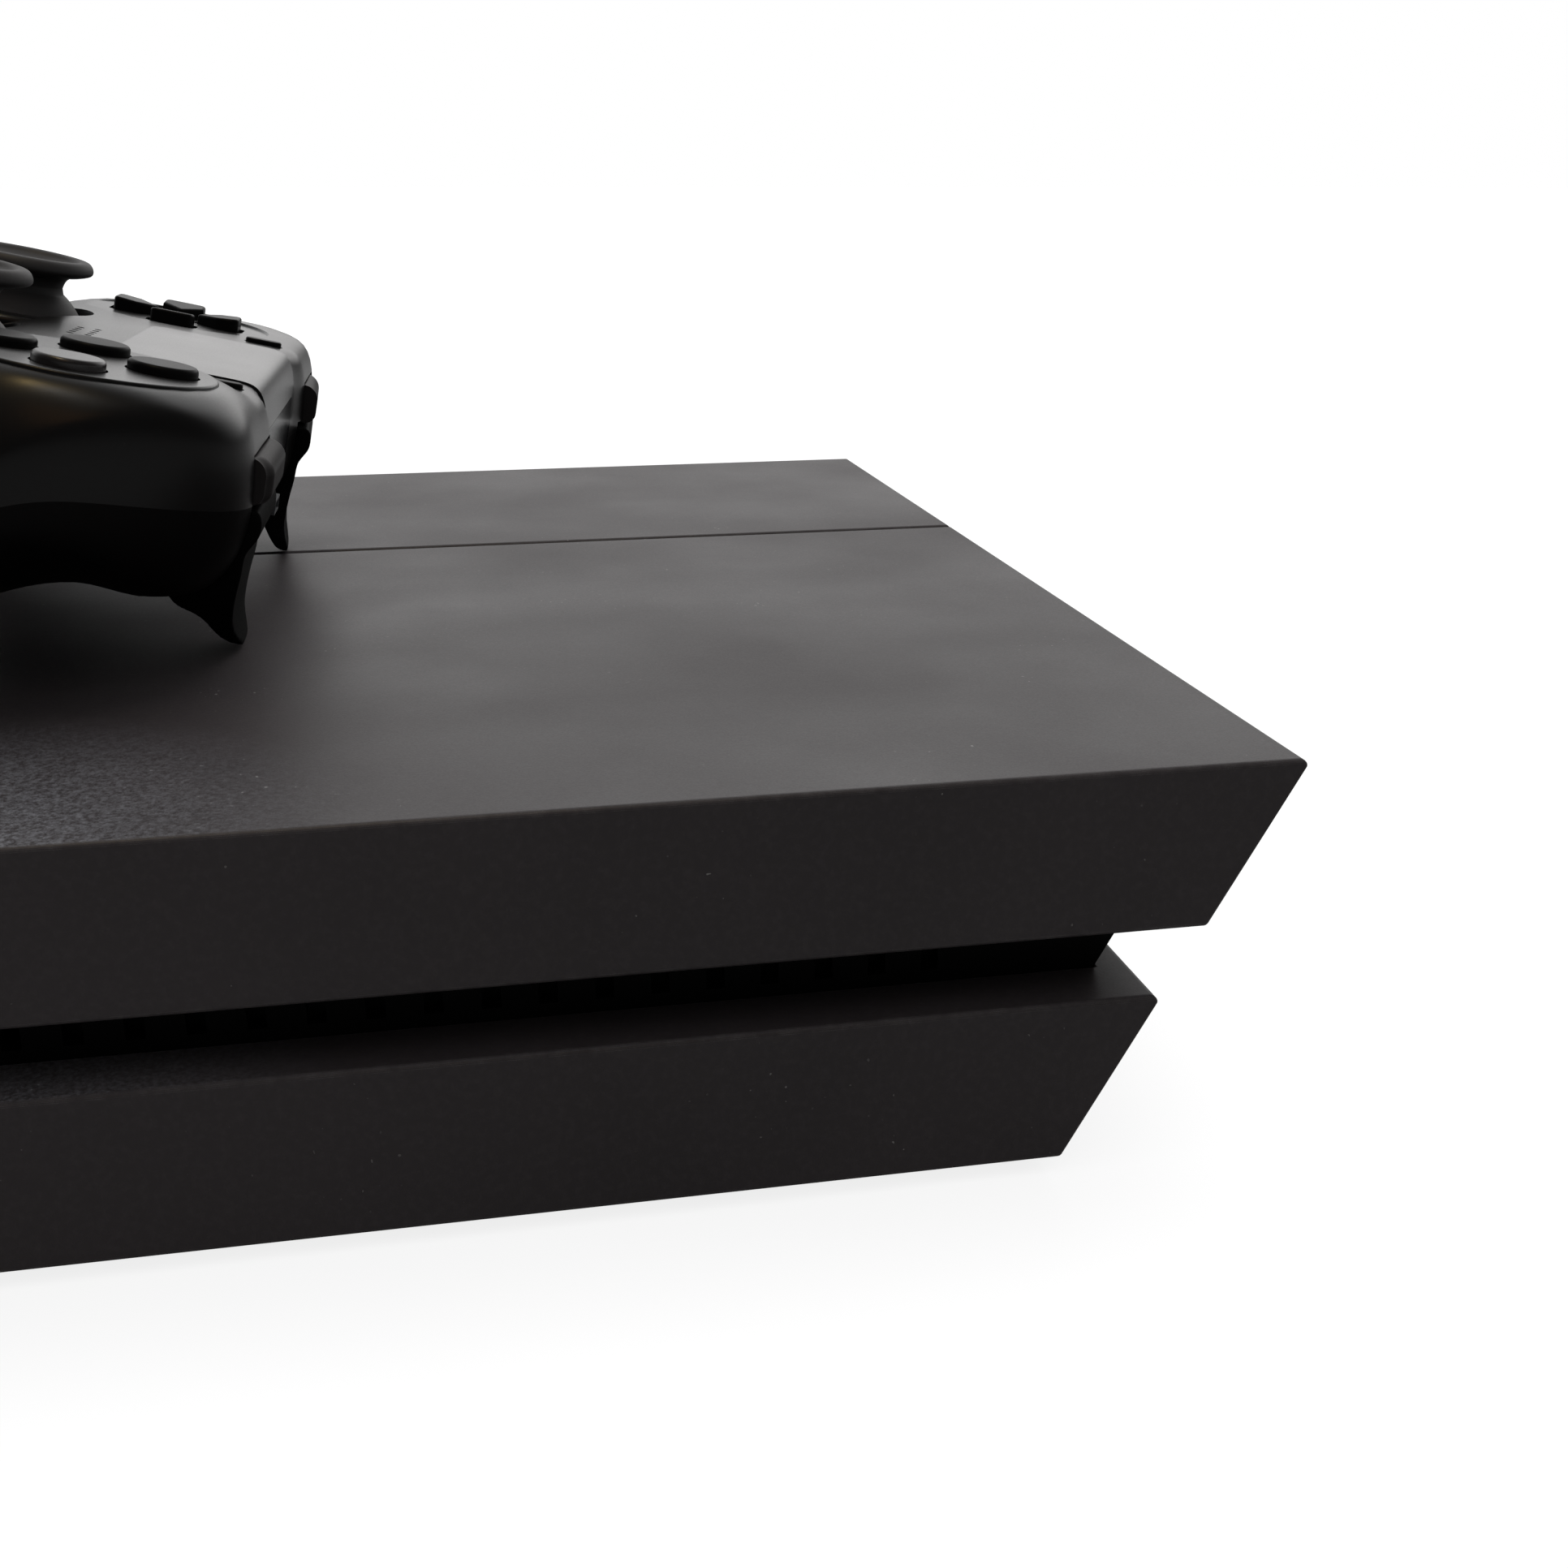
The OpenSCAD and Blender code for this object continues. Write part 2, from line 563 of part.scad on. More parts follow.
// closed loft of the sections; top and low say which half has its full form
module pad_loft(off, n, half_steps, top = true, low = true) {
  reach = pad_half - 1.6 * off - 0.03;
  us = [for (i = [-half_steps:half_steps]) reach * sin(90 * i / half_steps)];
  pts = [for (u = us) each section_ring(u, n, off, top, low)];
  m = 2 * n;
  k = len(us);
  sides = [for (i = [0:k - 2], j = [0:m - 1])
    let (a = i * m + j, b = i * m + (j + 1) % m) each [[a, b, b + m], [a, b + m, a + m]]];
  polyhedron(points = pts, faces = concat(sides,
    [[for (j = [m - 1:-1:0]) j]], [[for (j = [0:m - 1]) (k - 1) * m + j]]), convexity = 6);
}

// prism along u of the shell profile in the middle, between two insets
module centre_band(off0, off1, w) difference() {
  profile_prism(off0, w);
  translate([-1, 0, 0]) profile_prism(off1, w + 2);
}

module profile_prism(off, w) translate([-w / 2, 0, 0]) rotate([90, 0, 90]) linear_extrude(w)
  polygon([for (p = section_ring(0, 20, off, true, true)) [p[1], p[2]]]);

module pad_place()
  translate([0, pad_y, z_top + pad_lift]) rotate([0, 0, pad_yaw]) rotate([pad_tilt, 0, 0])
    rotate([0, 0, 180]) children();

module both() for (s = [-1, 1]) mirror([s < 0 ? 1 : 0, 0, 0]) children();

// disc with a small chamfer, as a hull
module puck(r, h, c = 0.6) hull() {
  cylinder(r = r, h = h - c, $fn = 40);
  cylinder(r = r - c, h = h, $fn = 40);
}

module pill_shape(w, l, h) hull() for (s = [-1, 1])
  translate([0, s * (l - w) / 2, 0]) cylinder(r = w / 2, h = h, $fn = 24);

// arrow-ended arm of the direction pad, pointing outwards along +v
module arm_shape(grow, h) linear_extrude(h)
  polygon([[0, 3.4 - grow * 1.4], [dpad_arm / 2 + grow, 3.4 + dpad_arm / 2],
           [dpad_arm / 2 + grow, dpad_reach + grow], [-dpad_arm / 2 - grow, dpad_reach + grow],
           [-dpad_arm / 2 - grow, 3.4 + dpad_arm / 2]]);

// ---------- controller shells ----------
module pad_front_shell() color("#1f1e1f") pad_place() difference() {
  union() {
    pad_loft(0, 20, 20, low = false);
    translate([cluster_u, 0, -6]) puck(plateau_r, 6 + plateau_h, 0.4);
    both() translate([stick_u, -stick_v, -9]) puck(well_r + 4, 8, 1.4);
  }
  difference() {
    pad_loft(pad_wall, 12, 12);
    both() translate([boss_at[0], boss_at[1], boss_w]) cylinder(r = 3.4, h = 40, $fn = 24);
  }
  both() translate([boss_at[0], boss_at[1], boss_w - 1]) cylinder(r = 1.2, h = 9, $fn = 16);
  both() translate([stick_u, -stick_v, -20]) cylinder(r = well_r, h = 30, $fn = 48);
  translate([-cluster_u, 0, -dish_depth]) cylinder(r1 = dish_r, r2 = dish_r + 4, h = 4, $fn = 48);
  for (a = [0:90:270]) translate([cluster_u, 0, -12]) rotate(a) translate([ring_r, 0, 0])
    cylinder(r = button_r + button_gap, h = 20, $fn = 36);
  for (a = [0:90:270]) translate([-cluster_u, 0, -12]) rotate(a) arm_shape(dpad_gap, 20);
  both() translate([pill_at[0], pill_at[1], -8]) pill_shape(pill[0] + 0.5, pill[1] + 0.5, 12);
  translate([0, -stick_v, -12]) cylinder(r = home_r + button_gap, h = 20, $fn = 32);
  for (i = [-2:2], j = [0, 1]) translate([i * 2.6 + (j - 0.5) * 1.3, -7 - j * 2.6, -6])
    cylinder(r = 0.6, h = 10, $fn = 12);
  touch_hole();
  trigger_hole();
  for (s = [-1, 1]) bumper(s, bumper_gap, 12);
}

module trigger_hole() both()
  block(trigger_u - trigger_w / 2 - 0.5, trigger_u + trigger_w / 2 + 0.5, 12.2, pad_front + 6, -44, -12.8);

module touch_hole() {
  translate([0, 0, touch_low - fit]) linear_extrude(20)
    round_rect(-touch_w / 2 - fit, touch_w / 2 + fit, touch_back - fit, pad_front + 5, 3);
  block(-lens_w / 2 - fit, lens_w / 2 + fit, pad_front - 8, pad_front + 5, lens_low - fit, touch_low);
}

module pad_back_shell() color("#171617") pad_place() difference() {
  pad_loft(0, 20, 20, top = false);
  difference() {
    pad_loft(pad_wall, 12, 12);
    both() translate([boss_at[0], boss_at[1], boss_w - 40]) cylinder(r = 4.4, h = 39.8, $fn = 32);
    both() for (x = [trigger_u - trigger_w / 2 - 2.1, trigger_u + trigger_w / 2 + 0.5])
      block(x, x + 1.6, 13, pad_front, -27, -15.2);
  }
  both() translate([boss_at[0], boss_at[1], -58]) cylinder(r = 1.2, h = 30, $fn = 16);
  both() translate([boss_at[0], boss_at[1], screw_w - 18]) cylinder(r = 3, h = 20.2, $fn = 24);
  trigger_hole();
  both() translate([0, hinge_v, hinge_w]) rotate([0, 90, 0])
    cylinder(r = 1.35, h = trigger_u + trigger_w / 2 + 2.1, $fn = 24);
  for (s = [-1, 1]) bumper(s, bumper_gap, 12);
  touch_hole();
  translate([0, -pad_waist + 6, -20.7]) rotate([90, 0, 0]) cylinder(r = 3.3, h = 12, $fn = 24);
  block(-4, 4, pad_front - 8, pad_front + 4, -24.5, -21.5);
}

module pad_touchpad() color("#201f20") pad_place() intersection() {
  centre_band(-0.3, 1.4, touch_w);
  translate([0, 0, touch_low]) linear_extrude(20)
    round_rect(-touch_w / 2, touch_w / 2, touch_back, pad_front + 5, 3);
}

module pad_light_lens() color("#0d0d10") pad_place() intersection() {
  centre_band(0, 1.5, lens_w);
  block(-lens_w / 2, lens_w / 2, 5, pad_front + 5, lens_low, lens_high);
}

// shoulder button: a bar along the front edge of the shell, drawn in at its outer end
module bumper(side, grow, deep) {
  n = 14;
  sec = concat([[bumper_d + deep, bumper_w[1] + grow]],
    arc_pts([2.6, bumper_w[1] - 2.6], 2.6 + grow, 90, 180, 5),
    arc_pts([2, bumper_w[0] + 2], 2 + grow, 180, 270, 4),
    [[bumper_d + deep, bumper_w[0] - grow]]);
  m = len(sec);
  us = [for (i = [0:n]) mix(bumper_u[0] - grow, bumper_u[1] + grow, sin(90 * i / n))];
  pts = [for (a = us, q = sec)
    [side * a, edge_front(a, 0) + bumper_proud - 0.9 * ease((a - bumper_u[1] + 3) / 3) - q[0], q[1]]];
  quads = [for (i = [0:n - 1], j = [0:m - 1]) let (a = i * m + j, b = i * m + (j + 1) % m)
    each [[a, b, b + m], [a, b + m, a + m]]];
  faces = concat(quads, [[for (j = [m - 1:-1:0]) j]], [[for (j = [0:m - 1]) n * m + j]]);
  polyhedron(points = pts, faces = side > 0 ? faces : [for (f = faces) [for (k = [len(f) - 1:-1:0]) f[k]]]);
}

module pad_left_bumper() color("#1b1b1c") pad_place() bumper(-1, 0, 0);
module pad_right_bumper() color("#1b1b1c") pad_place() bumper(1, 0, 0);

// outline of a trigger across its width, lowest near its inner end
trigger_face = [[-13, -10], [-13, tip_w + 3.2], [-11.8, tip_w + 1.2], [-9.6, tip_w + 0.2],
  [-7.5, tip_w], [-5, tip_w + 0.2], [-2, tip_w + 1.1], [2, tip_w + 2.8], [6, tip_w + 5.4],
  [9, tip_w + 8.4], [11.4, tip_w + 12], [12.6, tip_w + 15.6], [13, tip_w + 19], [13, -10]];
// its profile from the hinge round the front block and down the hollow blade
trigger_profile = concat(arc_pts([hinge_v, hinge_w], hinge_r, 199, 80, 10),
  [[24.6, -13.9], [26.6, -13.9], [27.4, -14.6], [27.7, -16], [27.5, -17.8], [26.6, -19.4],
   [25.9, -21], [25.7, -24], [25.2, -28], [25, -32], [25.3, -34.4], [25.9, -36.3],
   [tip_v, tip_w + 0.7], [tip_v - 0.4, tip_w + 0.1], [tip_v - 1, tip_w],
   [tip_v - 2.2, tip_w + 0.8], [23, -36.2], [22, -34.6], [21, -33], [19.6, -31.8],
   [17.4, -30.9], [16, -29.6], [15.6, -27]]);

module trigger(side) mirror([side < 0 ? 1 : 0, 0, 0]) translate([trigger_u, 0, 0]) difference() {
  intersection() {
    translate([-trigger_w / 2, 0, 0]) rotate([90, 0, 90]) linear_extrude(trigger_w)
      polygon(trigger_profile);
    translate([0, 40, 0]) rotate([90, 0, 0]) linear_extrude(40)
      scale([trigger_w / 26, 1]) polygon(trigger_face);
  }
  translate([-trigger_w / 2 + 1.8, 0, 0]) rotate([90, 0, 90]) linear_extrude(trigger_w - 8.3)
    polygon([[10, -22.4], [22.6, -22.4], [22.9, -31.2], [10, -26.4]]);
  translate([-trigger_w, hinge_v, hinge_w]) rotate([0, 90, 0])
    cylinder(r = trigger_pin_r + 0.15, h = 2 * trigger_w, $fn = 32);
}

module pad_left_trigger() color("#1b1b1c") pad_place() trigger(-1);
module pad_right_trigger() color("#1b1b1c") pad_place() trigger(1);

module pad_trigger_pins() color("#a9abad") pad_place() for (s = [-1, 1])
  translate([s * trigger_u, hinge_v, hinge_w]) rotate([0, 90, 0])
    cylinder(r = trigger_pin_r, h = trigger_w + 3.6, center = true, $fn = 32);

// ---------- buttons ----------
module face_button(angle) color("#232222") pad_place() translate([cluster_u, 0, key_base_w])
  rotate(angle) translate([ring_r, 0, 0]) {
    cylinder(r = button_r + 1.1, h = 1, $fn = 48);
    cylinder(r = button_r, h = button_h - key_base_w - 0.4, $fn = 48);
    translate([0, 0, button_h - key_base_w - 0.4])
      cylinder(r1 = button_r, r2 = button_r - 0.4, h = 0.4, $fn = 48);
  }
module pad_button_north() face_button(90);
module pad_button_east() face_button(0);
module pad_button_south() face_button(270);
module pad_button_west() face_button(180);

module pad_dpad() color("#232222") pad_place() translate([-cluster_u, 0, dpad_base_w]) {
  for (a = [0, 90]) rotate(a) translate([-dpad_arm / 2, -dpad_reach, 0])
    cube([dpad_arm, 2 * dpad_reach, dpad_base_t]);
  for (a = [0:90:270]) rotate(a) arm_shape(0, dpad_top - dpad_base_w);
}
module pad_dpad_pivot() color("#54565a") pad_place()
  translate([-cluster_u, 0, dpad_base_w - 1.1]) cylinder(r = 2.5, h = 0.8, $fn = 32);

module pill_button(side) color("#262526") pad_place()
  translate([side * pill_at[0], pill_at[1], -3.2]) pill_shape(pill[0], pill[1], 4);
module pad_share_button() pill_button(-1);
module pad_options_button() pill_button(1);

module pad_home_button() color("#2a292a") pad_place() translate([0, -stick_v, -7]) {
  cylinder(r = home_r, h = 4.2, $fn = 48);
  translate([0, 0, 4.2]) cylinder(r1 = home_r, r2 = home_r - 0.4, h = 0.4, $fn = 48);
}

// ---------- sticks ----------
module at_stick(side) pad_place() translate([side * stick_u, -stick_v, stick_w]) children();

module stick_cap(side) color("#242324") at_stick(side) difference() {
  r1 = skirt_r - ball_t;
  top = side < 0 ? cap_top[0] : cap_top[1];
  rotate_extrude($fn = 64) polygon(concat(
    [[0, top - 1.6], [cap_r - 4.5, top - 1.4], [cap_r - 2.6, top - 0.2], [cap_r - 1.2, top],
     [cap_r - 0.2, top - 0.6], [cap_r, top - 1.5], [cap_r - 0.5, top - 2.3],
     [cap_r - 2.5, top - 2.9], [8.3, top - 3.5], [7.1, top - 4.6], [7, 10.4]],
    arc_pts([0, 0], skirt_r, 52, 16, 8), arc_pts([0, 0], r1, 16, 75, 10), [[2.7, 4.2], [0, 4.2]]));
  cylinder(r = 1.75, h = 9.6, $fn = 32);
}
module pad_left_stick_cap() stick_cap(-1);
module pad_right_stick_cap() stick_cap(1);

module cradle(side) color("#c9c9c4") at_stick(side) {
  translate([-1.8, -1.8, -2]) cube([3.6, 3.6, 3.6]);
  cylinder(r = 1.5, h = 9, $fn = 32);
  rotate([90, 0, 0]) cylinder(r = 0.8, h = 8.4, center = true, $fn = 24);
}
module pad_left_cradle() cradle(-1);
module pad_right_cradle() cradle(1);

module rocker(side) color("#8f9194") at_stick(side) {
  difference() {
    translate([-4.4, -3.6, -2]) cube([8.8, 7.2, 4]);
    translate([-3.2, -2.4, -3]) cube([6.4, 4.8, 6]);
    rotate([90, 0, 0]) cylinder(r = 0.95, h = 12, center = true, $fn = 24);
  }
  for (s = [-1, 1]) translate([s * 4.3, 0, 0]) rotate([0, s * 90, 0]) cylinder(r = 1, h = 2, $fn = 24);
}
module pad_left_rocker() rocker(-1);
module pad_right_rocker() rocker(1);

module pad_stick_modules() color("#9c9ea0") for (s = [-1, 1]) at_stick(s) difference() {
  base = pcb_w - stick_w;
  block(-6.5, 6.5, -6.5, 6.5, base, 3);
  block(-5.4, 5.4, -5.4, 5.4, base + 1.2, 4);
  rotate([0, 90, 0]) cylinder(r = 1.15, h = 20, center = true, $fn = 24);
}

// ---------- controller inside ----------
module pad_circuit_board() color("#1f4a33") pad_place() translate([0, 0, pcb_w - pcb_t])
  linear_extrude(pcb_t) {
    translate([-pcb_size[0] / 2, -16]) square(pcb_size);
    translate([-pcb_tail[0] / 2, -34]) square(pcb_tail);
  }

module pad_inner_frame() color("#3a3b3d") pad_place() {
  translate([0, 0, frame_w - frame_t]) linear_extrude(frame_t) {
    translate([-frame_size[0] / 2, -36]) square(frame_size);
    translate([-frame_nose[0] / 2, 0]) square(frame_nose);
  }
  both() difference() {
    block(motor_at[0] - 19, motor_at[0] + 1, motor_at[1] - 8, motor_at[1] + 8, -26, frame_w);
    translate([motor_at[0] - 28, motor_at[1], motor_at[2]]) rotate([0, 90, 0])
      cylinder(r = motor_r + 0.05, h = 40, $fn = 64);
    block(motor_at[0] - 20, motor_at[0] - 12.5, motor_at[1] - 9, motor_at[1] + 9, -30,
          frame_w - frame_t);
  }
}

module pad_battery() color("#3b3f46") pad_place()
  translate([-battery[0] / 2, -30, frame_w - frame_t - battery[2]]) linear_extrude(battery[2])
    round_rect(0, battery[0], 0, battery[1], 2);

module pad_rumble_motors() color("#b7b9ba") pad_place() both()
  translate([motor_at[0] - 12, motor_at[1], motor_at[2]]) rotate([0, 90, 0]) {
    cylinder(r = motor_r, h = 13, $fn = 64);
    cylinder(r = 1, h = 21, $fn = 24);
  }

module weight(side) color("#8c7a4f") pad_place() mirror([side < 0 ? 1 : 0, 0, 0])
  translate([motor_at[0] + 2.6, motor_at[1], motor_at[2]]) rotate([0, 90, 0]) difference() {
    union() {
      cylinder(r = 2.6, h = 5.4, $fn = 32);
      intersection() {
        cylinder(r = 7.6, h = 5.4, $fn = 64);
        translate([0, -8, 0]) cube([8, 16, 5.4]);
      }
    }
    translate([0, 0, -1]) cylinder(r = 1.12, h = 8, $fn = 32);
  }
module pad_left_weight() weight(-1);
module pad_right_weight() weight(1);

module pad_switch_mats() color("#4a4b4e") pad_place() both() {
  translate([cluster_u, 0, mat_w]) cylinder(r = mat_r, h = mat_t, $fn = 64);
  block(cluster_u - 8, cluster_u + 8, -7, 7, pcb_w, mat_w + eps);
}

module pad_speaker() color("#2f3032") pad_place() translate([0, -8.3, pcb_w]) {
  cylinder(r = 8, h = 5, $fn = 48);
  translate([0, 0, 5]) cylinder(r1 = 7.4, r2 = 6, h = 1.2, $fn = 48);
}

module pad_sockets() color("#9b9d9f") pad_place() {
  difference() {
    block(-3.8, 3.8, 15, pad_front - 0.3, -24.3, -21.7);
    block(-3.4, 3.4, 19, pad_front + 1, -23.9, -22.1);
  }
  block(-3, 3, 15, 19, -21.7 - eps, frame_w - frame_t);
  translate([0, -30.4, -20.7]) rotate([90, 0, 0]) ring(3, 1.8, pad_waist - 30.4 - 0.6);
}

module pad_screws() color("#87898b") pad_place() both() translate([boss_at[0], boss_at[1], 0]) {
  translate([0, 0, screw_w]) difference() {
    cylinder(r = 2.7, h = 2, $fn = 32);
    translate([0, 0, -1]) cylinder(r = 1.2, h = 2.2, $fn = 6);
  }
  translate([0, 0, screw_w + 2 - eps]) cylinder(r = 1.05, h = boss_w + 6 - screw_w, $fn = 24);
}

top_cover();
hdd_cover();
bottom_cover();
mid_frame();
power_button();
eject_button();
status_light();
disc_drive();
disc_hub();
feed_roller();
power_supply();
ac_inlet();
main_board();
processor();
heat_sink();
fan_housing();
fan_rotor();
drive_deck();
hdd_caddy();
hard_drive();
back_ports();
usb_ports();
rubber_feet();
case_screws();
pad_front_shell();
pad_back_shell();
pad_touchpad();
pad_light_lens();
pad_dpad();
pad_dpad_pivot();
pad_button_north();
pad_button_east();
pad_button_south();
pad_button_west();
pad_share_button();
pad_options_button();
pad_home_button();
pad_left_bumper();
pad_right_bumper();
pad_left_trigger();
pad_right_trigger();
pad_trigger_pins();
pad_left_stick_cap();
pad_right_stick_cap();
pad_left_cradle();
pad_right_cradle();
pad_left_rocker();
pad_right_rocker();
pad_stick_modules();
pad_circuit_board();
pad_battery();
pad_inner_frame();
pad_rumble_motors();
pad_left_weight();
pad_right_weight();
pad_switch_mats();
pad_speaker();
pad_sockets();
pad_screws();
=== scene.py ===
"""Looks for the game console with its controller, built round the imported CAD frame."""

import json
import math

import bmesh
import bpy
from mathutils import Matrix, Vector


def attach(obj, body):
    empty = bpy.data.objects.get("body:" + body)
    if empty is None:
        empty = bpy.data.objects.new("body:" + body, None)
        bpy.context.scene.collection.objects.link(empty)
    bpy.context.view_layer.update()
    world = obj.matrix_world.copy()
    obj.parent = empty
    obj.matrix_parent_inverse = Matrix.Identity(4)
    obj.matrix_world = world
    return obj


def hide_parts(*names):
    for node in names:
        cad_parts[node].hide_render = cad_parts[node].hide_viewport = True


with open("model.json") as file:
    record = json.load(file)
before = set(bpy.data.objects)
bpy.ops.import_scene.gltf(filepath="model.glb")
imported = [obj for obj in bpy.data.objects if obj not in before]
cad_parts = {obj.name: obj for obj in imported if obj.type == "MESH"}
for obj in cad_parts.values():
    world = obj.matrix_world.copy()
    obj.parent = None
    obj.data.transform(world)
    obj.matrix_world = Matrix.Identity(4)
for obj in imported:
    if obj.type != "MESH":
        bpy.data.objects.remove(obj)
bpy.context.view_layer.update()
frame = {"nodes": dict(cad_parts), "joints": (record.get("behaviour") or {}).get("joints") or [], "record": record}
MM = 0.001
scene = bpy.context.scene
scene.view_settings.view_transform = "Standard"


# ---------- camera, where the photograph was taken from ----------
CAMERA_PLACE = (-366.543, -42.737, 128.415)
CAMERA_AZIMUTH, CAMERA_ELEVATION = -102.923, 18.285
CAMERA_SHIFT = (-0.0553, 0.0243)
LENS, SENSOR = 46.5, 36.0


def make_camera():
    azimuth, elevation = math.radians(CAMERA_AZIMUTH), math.radians(CAMERA_ELEVATION)
    back = Vector((math.sin(azimuth) * math.cos(elevation),
                   -math.cos(azimuth) * math.cos(elevation), math.sin(elevation)))
    data = bpy.data.cameras.new("camera")
    data.sensor_width, data.lens = SENSOR, LENS
    data.shift_x, data.shift_y = CAMERA_SHIFT
    data.clip_start, data.clip_end = 0.01, 50.0
    cam = bpy.data.objects.new("camera", data)
    cam.location = Vector(CAMERA_PLACE) * MM
    cam.rotation_mode = "QUATERNION"
    cam.rotation_quaternion = (-back).to_track_quat("-Z", "Y")
    scene.collection.objects.link(cam)
    scene.camera = cam


# ---------- node helpers ----------
class Tree:
    """A small helper round one node tree."""

    def __init__(self, tree):
        self.tree = tree
        self.nodes = tree.nodes
        self.nodes.clear()

    def add(self, kind, **inputs):
        node = self.nodes.new(kind)
        for name, value in inputs.items():
            self.feed(node, name, value)
        return node

    def feed(self, node, name, value):
        """Sets or links an input, named by its label (Base_Color) or by its place (_0)."""
        by_place = name[0] == "_" and name[1:].isdigit()
        socket = node.inputs[int(name[1:]) if by_place else name.replace("_", " ")]
        if isinstance(value, bpy.types.NodeSocket):
            self.tree.links.new(value, socket)
        elif isinstance(value, bpy.types.Node):
            self.tree.links.new(value.outputs[0], socket)
        else:
            socket.default_value = value
        return node

    def math(self, op, a, b=0.0, clamp=False):
        node = self.nodes.new("ShaderNodeMath")
        node.operation = op
        node.use_clamp = clamp
        self.feed(node, "_0", a)
        self.feed(node, "_1", b)
        return node.outputs[0]

    def vector_math(self, op, a, b):
        node = self.nodes.new("ShaderNodeVectorMath")
        node.operation = op
        self.feed(node, "_0", a)
        self.feed(node, "_1", b)
        return node.outputs["Value"]

    def mix(self, fac, a, b):
        node = self.nodes.new("ShaderNodeMix")
        node.data_type = "RGBA"
        self.feed(node, "_0", fac)
        self.feed(node, "_6", a)
        self.feed(node, "_7", b)
        return node.outputs[2]

    def ramp(self, value, low, high, out_low=0.0, out_high=1.0):
        node = self.nodes.new("ShaderNodeMapRange")
        self.feed(node, "Value", value)
        limits = {"From Min": low, "From Max": high, "To Min": out_low, "To Max": out_high}
        for name, limit in limits.items():
            node.inputs[name].default_value = limit
        return node.outputs[0]

    def noise(self, coords, scale, detail=2.0, roughness=0.5):
        node = self.nodes.new("ShaderNodeTexNoise")
        self.feed(node, "Vector", coords)
        node.inputs["Scale"].default_value = scale
        node.inputs["Detail"].default_value = detail
        node.inputs["Roughness"].default_value = roughness
        return node.outputs["Fac"]


def rgba(c):
    return (c[0], c[1], c[2], 1.0)


def shade(hexa):
    """Linear colour from an sRGB hex string."""
    out = []
    for i in (0, 2, 4):
        v = int(hexa[i:i + 2], 16) / 255
        out.append(v / 12.92 if v <= 0.04045 else ((v + 0.055) / 1.055) ** 2.4)
    return out


# ---------- materials ----------
SPECK_COLOUR = (0.25, 0.24, 0.23, 1)
PALER_PATCH_COLOUR = (0.36, 0.37, 0.40, 1)
# pale colour of the edge marks: partly wear, partly painted highlight
EDGE_WEAR_AND_HIGHLIGHT_COLOUR = (0.55, 0.52, 0.50, 1)
PALER_PATCH_AMOUNT = 0.4
EDGE_WEAR_AND_HIGHLIGHT_WIDTH = 0.2
GLOSS_VARY = 0.06


def dusty(t, where, colour, amount):
    """Fine pale specks, gathered in places."""
    speck = t.ramp(t.noise(where, 1500.0, 0.0), 0.83, 0.87)
    gathered = t.ramp(t.noise(where, 60.0, 2.0), 0.54, 0.66, 0.04, 1.0)
    mask = t.math("MULTIPLY", speck, gathered, clamp=True)
    return t.mix(t.math("MULTIPLY", mask, amount), colour, SPECK_COLOUR)


def paler_patch(t, where, colour, place):
    """Paler patch round a place on an upward face, broken up into short marks."""
    reach = t.ramp(t.vector_math("DISTANCE", where, [c * MM for c in place]), 0.005, 0.060, 1.0, 0.0)
    marks = t.ramp(t.noise(where, 1500.0, 6.0, 0.8), 0.42, 0.64)
    patch = t.math("MULTIPLY", reach, marks, clamp=True)
    facing = t.add("ShaderNodeSeparateXYZ", Vector=t.add("ShaderNodeNewGeometry").outputs["Normal"])
    patch = t.math("MULTIPLY", patch, t.ramp(facing.outputs["Z"], 0.9, 0.98), clamp=True)
    return t.mix(t.math("MULTIPLY", patch, PALER_PATCH_AMOUNT), colour, PALER_PATCH_COLOUR)


def edge_wear_and_highlight(t, where, colour, amount):
    """Pale, broken marks along sharp edges: partly wear, partly a painted highlight."""
    rounded = t.add("ShaderNodeBevel", Radius=EDGE_WEAR_AND_HIGHLIGHT_WIDTH * MM)
    rounded.samples = 4
    normal = t.add("ShaderNodeNewGeometry").outputs["Normal"]
    near = t.ramp(t.vector_math("DOT_PRODUCT", rounded.outputs[0], normal), 0.995, 0.93)
    broken = t.ramp(t.noise(where, 350.0, 4.0, 0.7), 0.36, 0.62)
    wear_and_highlight = t.math("MULTIPLY", near, broken, clamp=True)
    return t.mix(t.math("MULTIPLY", wear_and_highlight, amount), colour, EDGE_WEAR_AND_HIGHLIGHT_COLOUR)


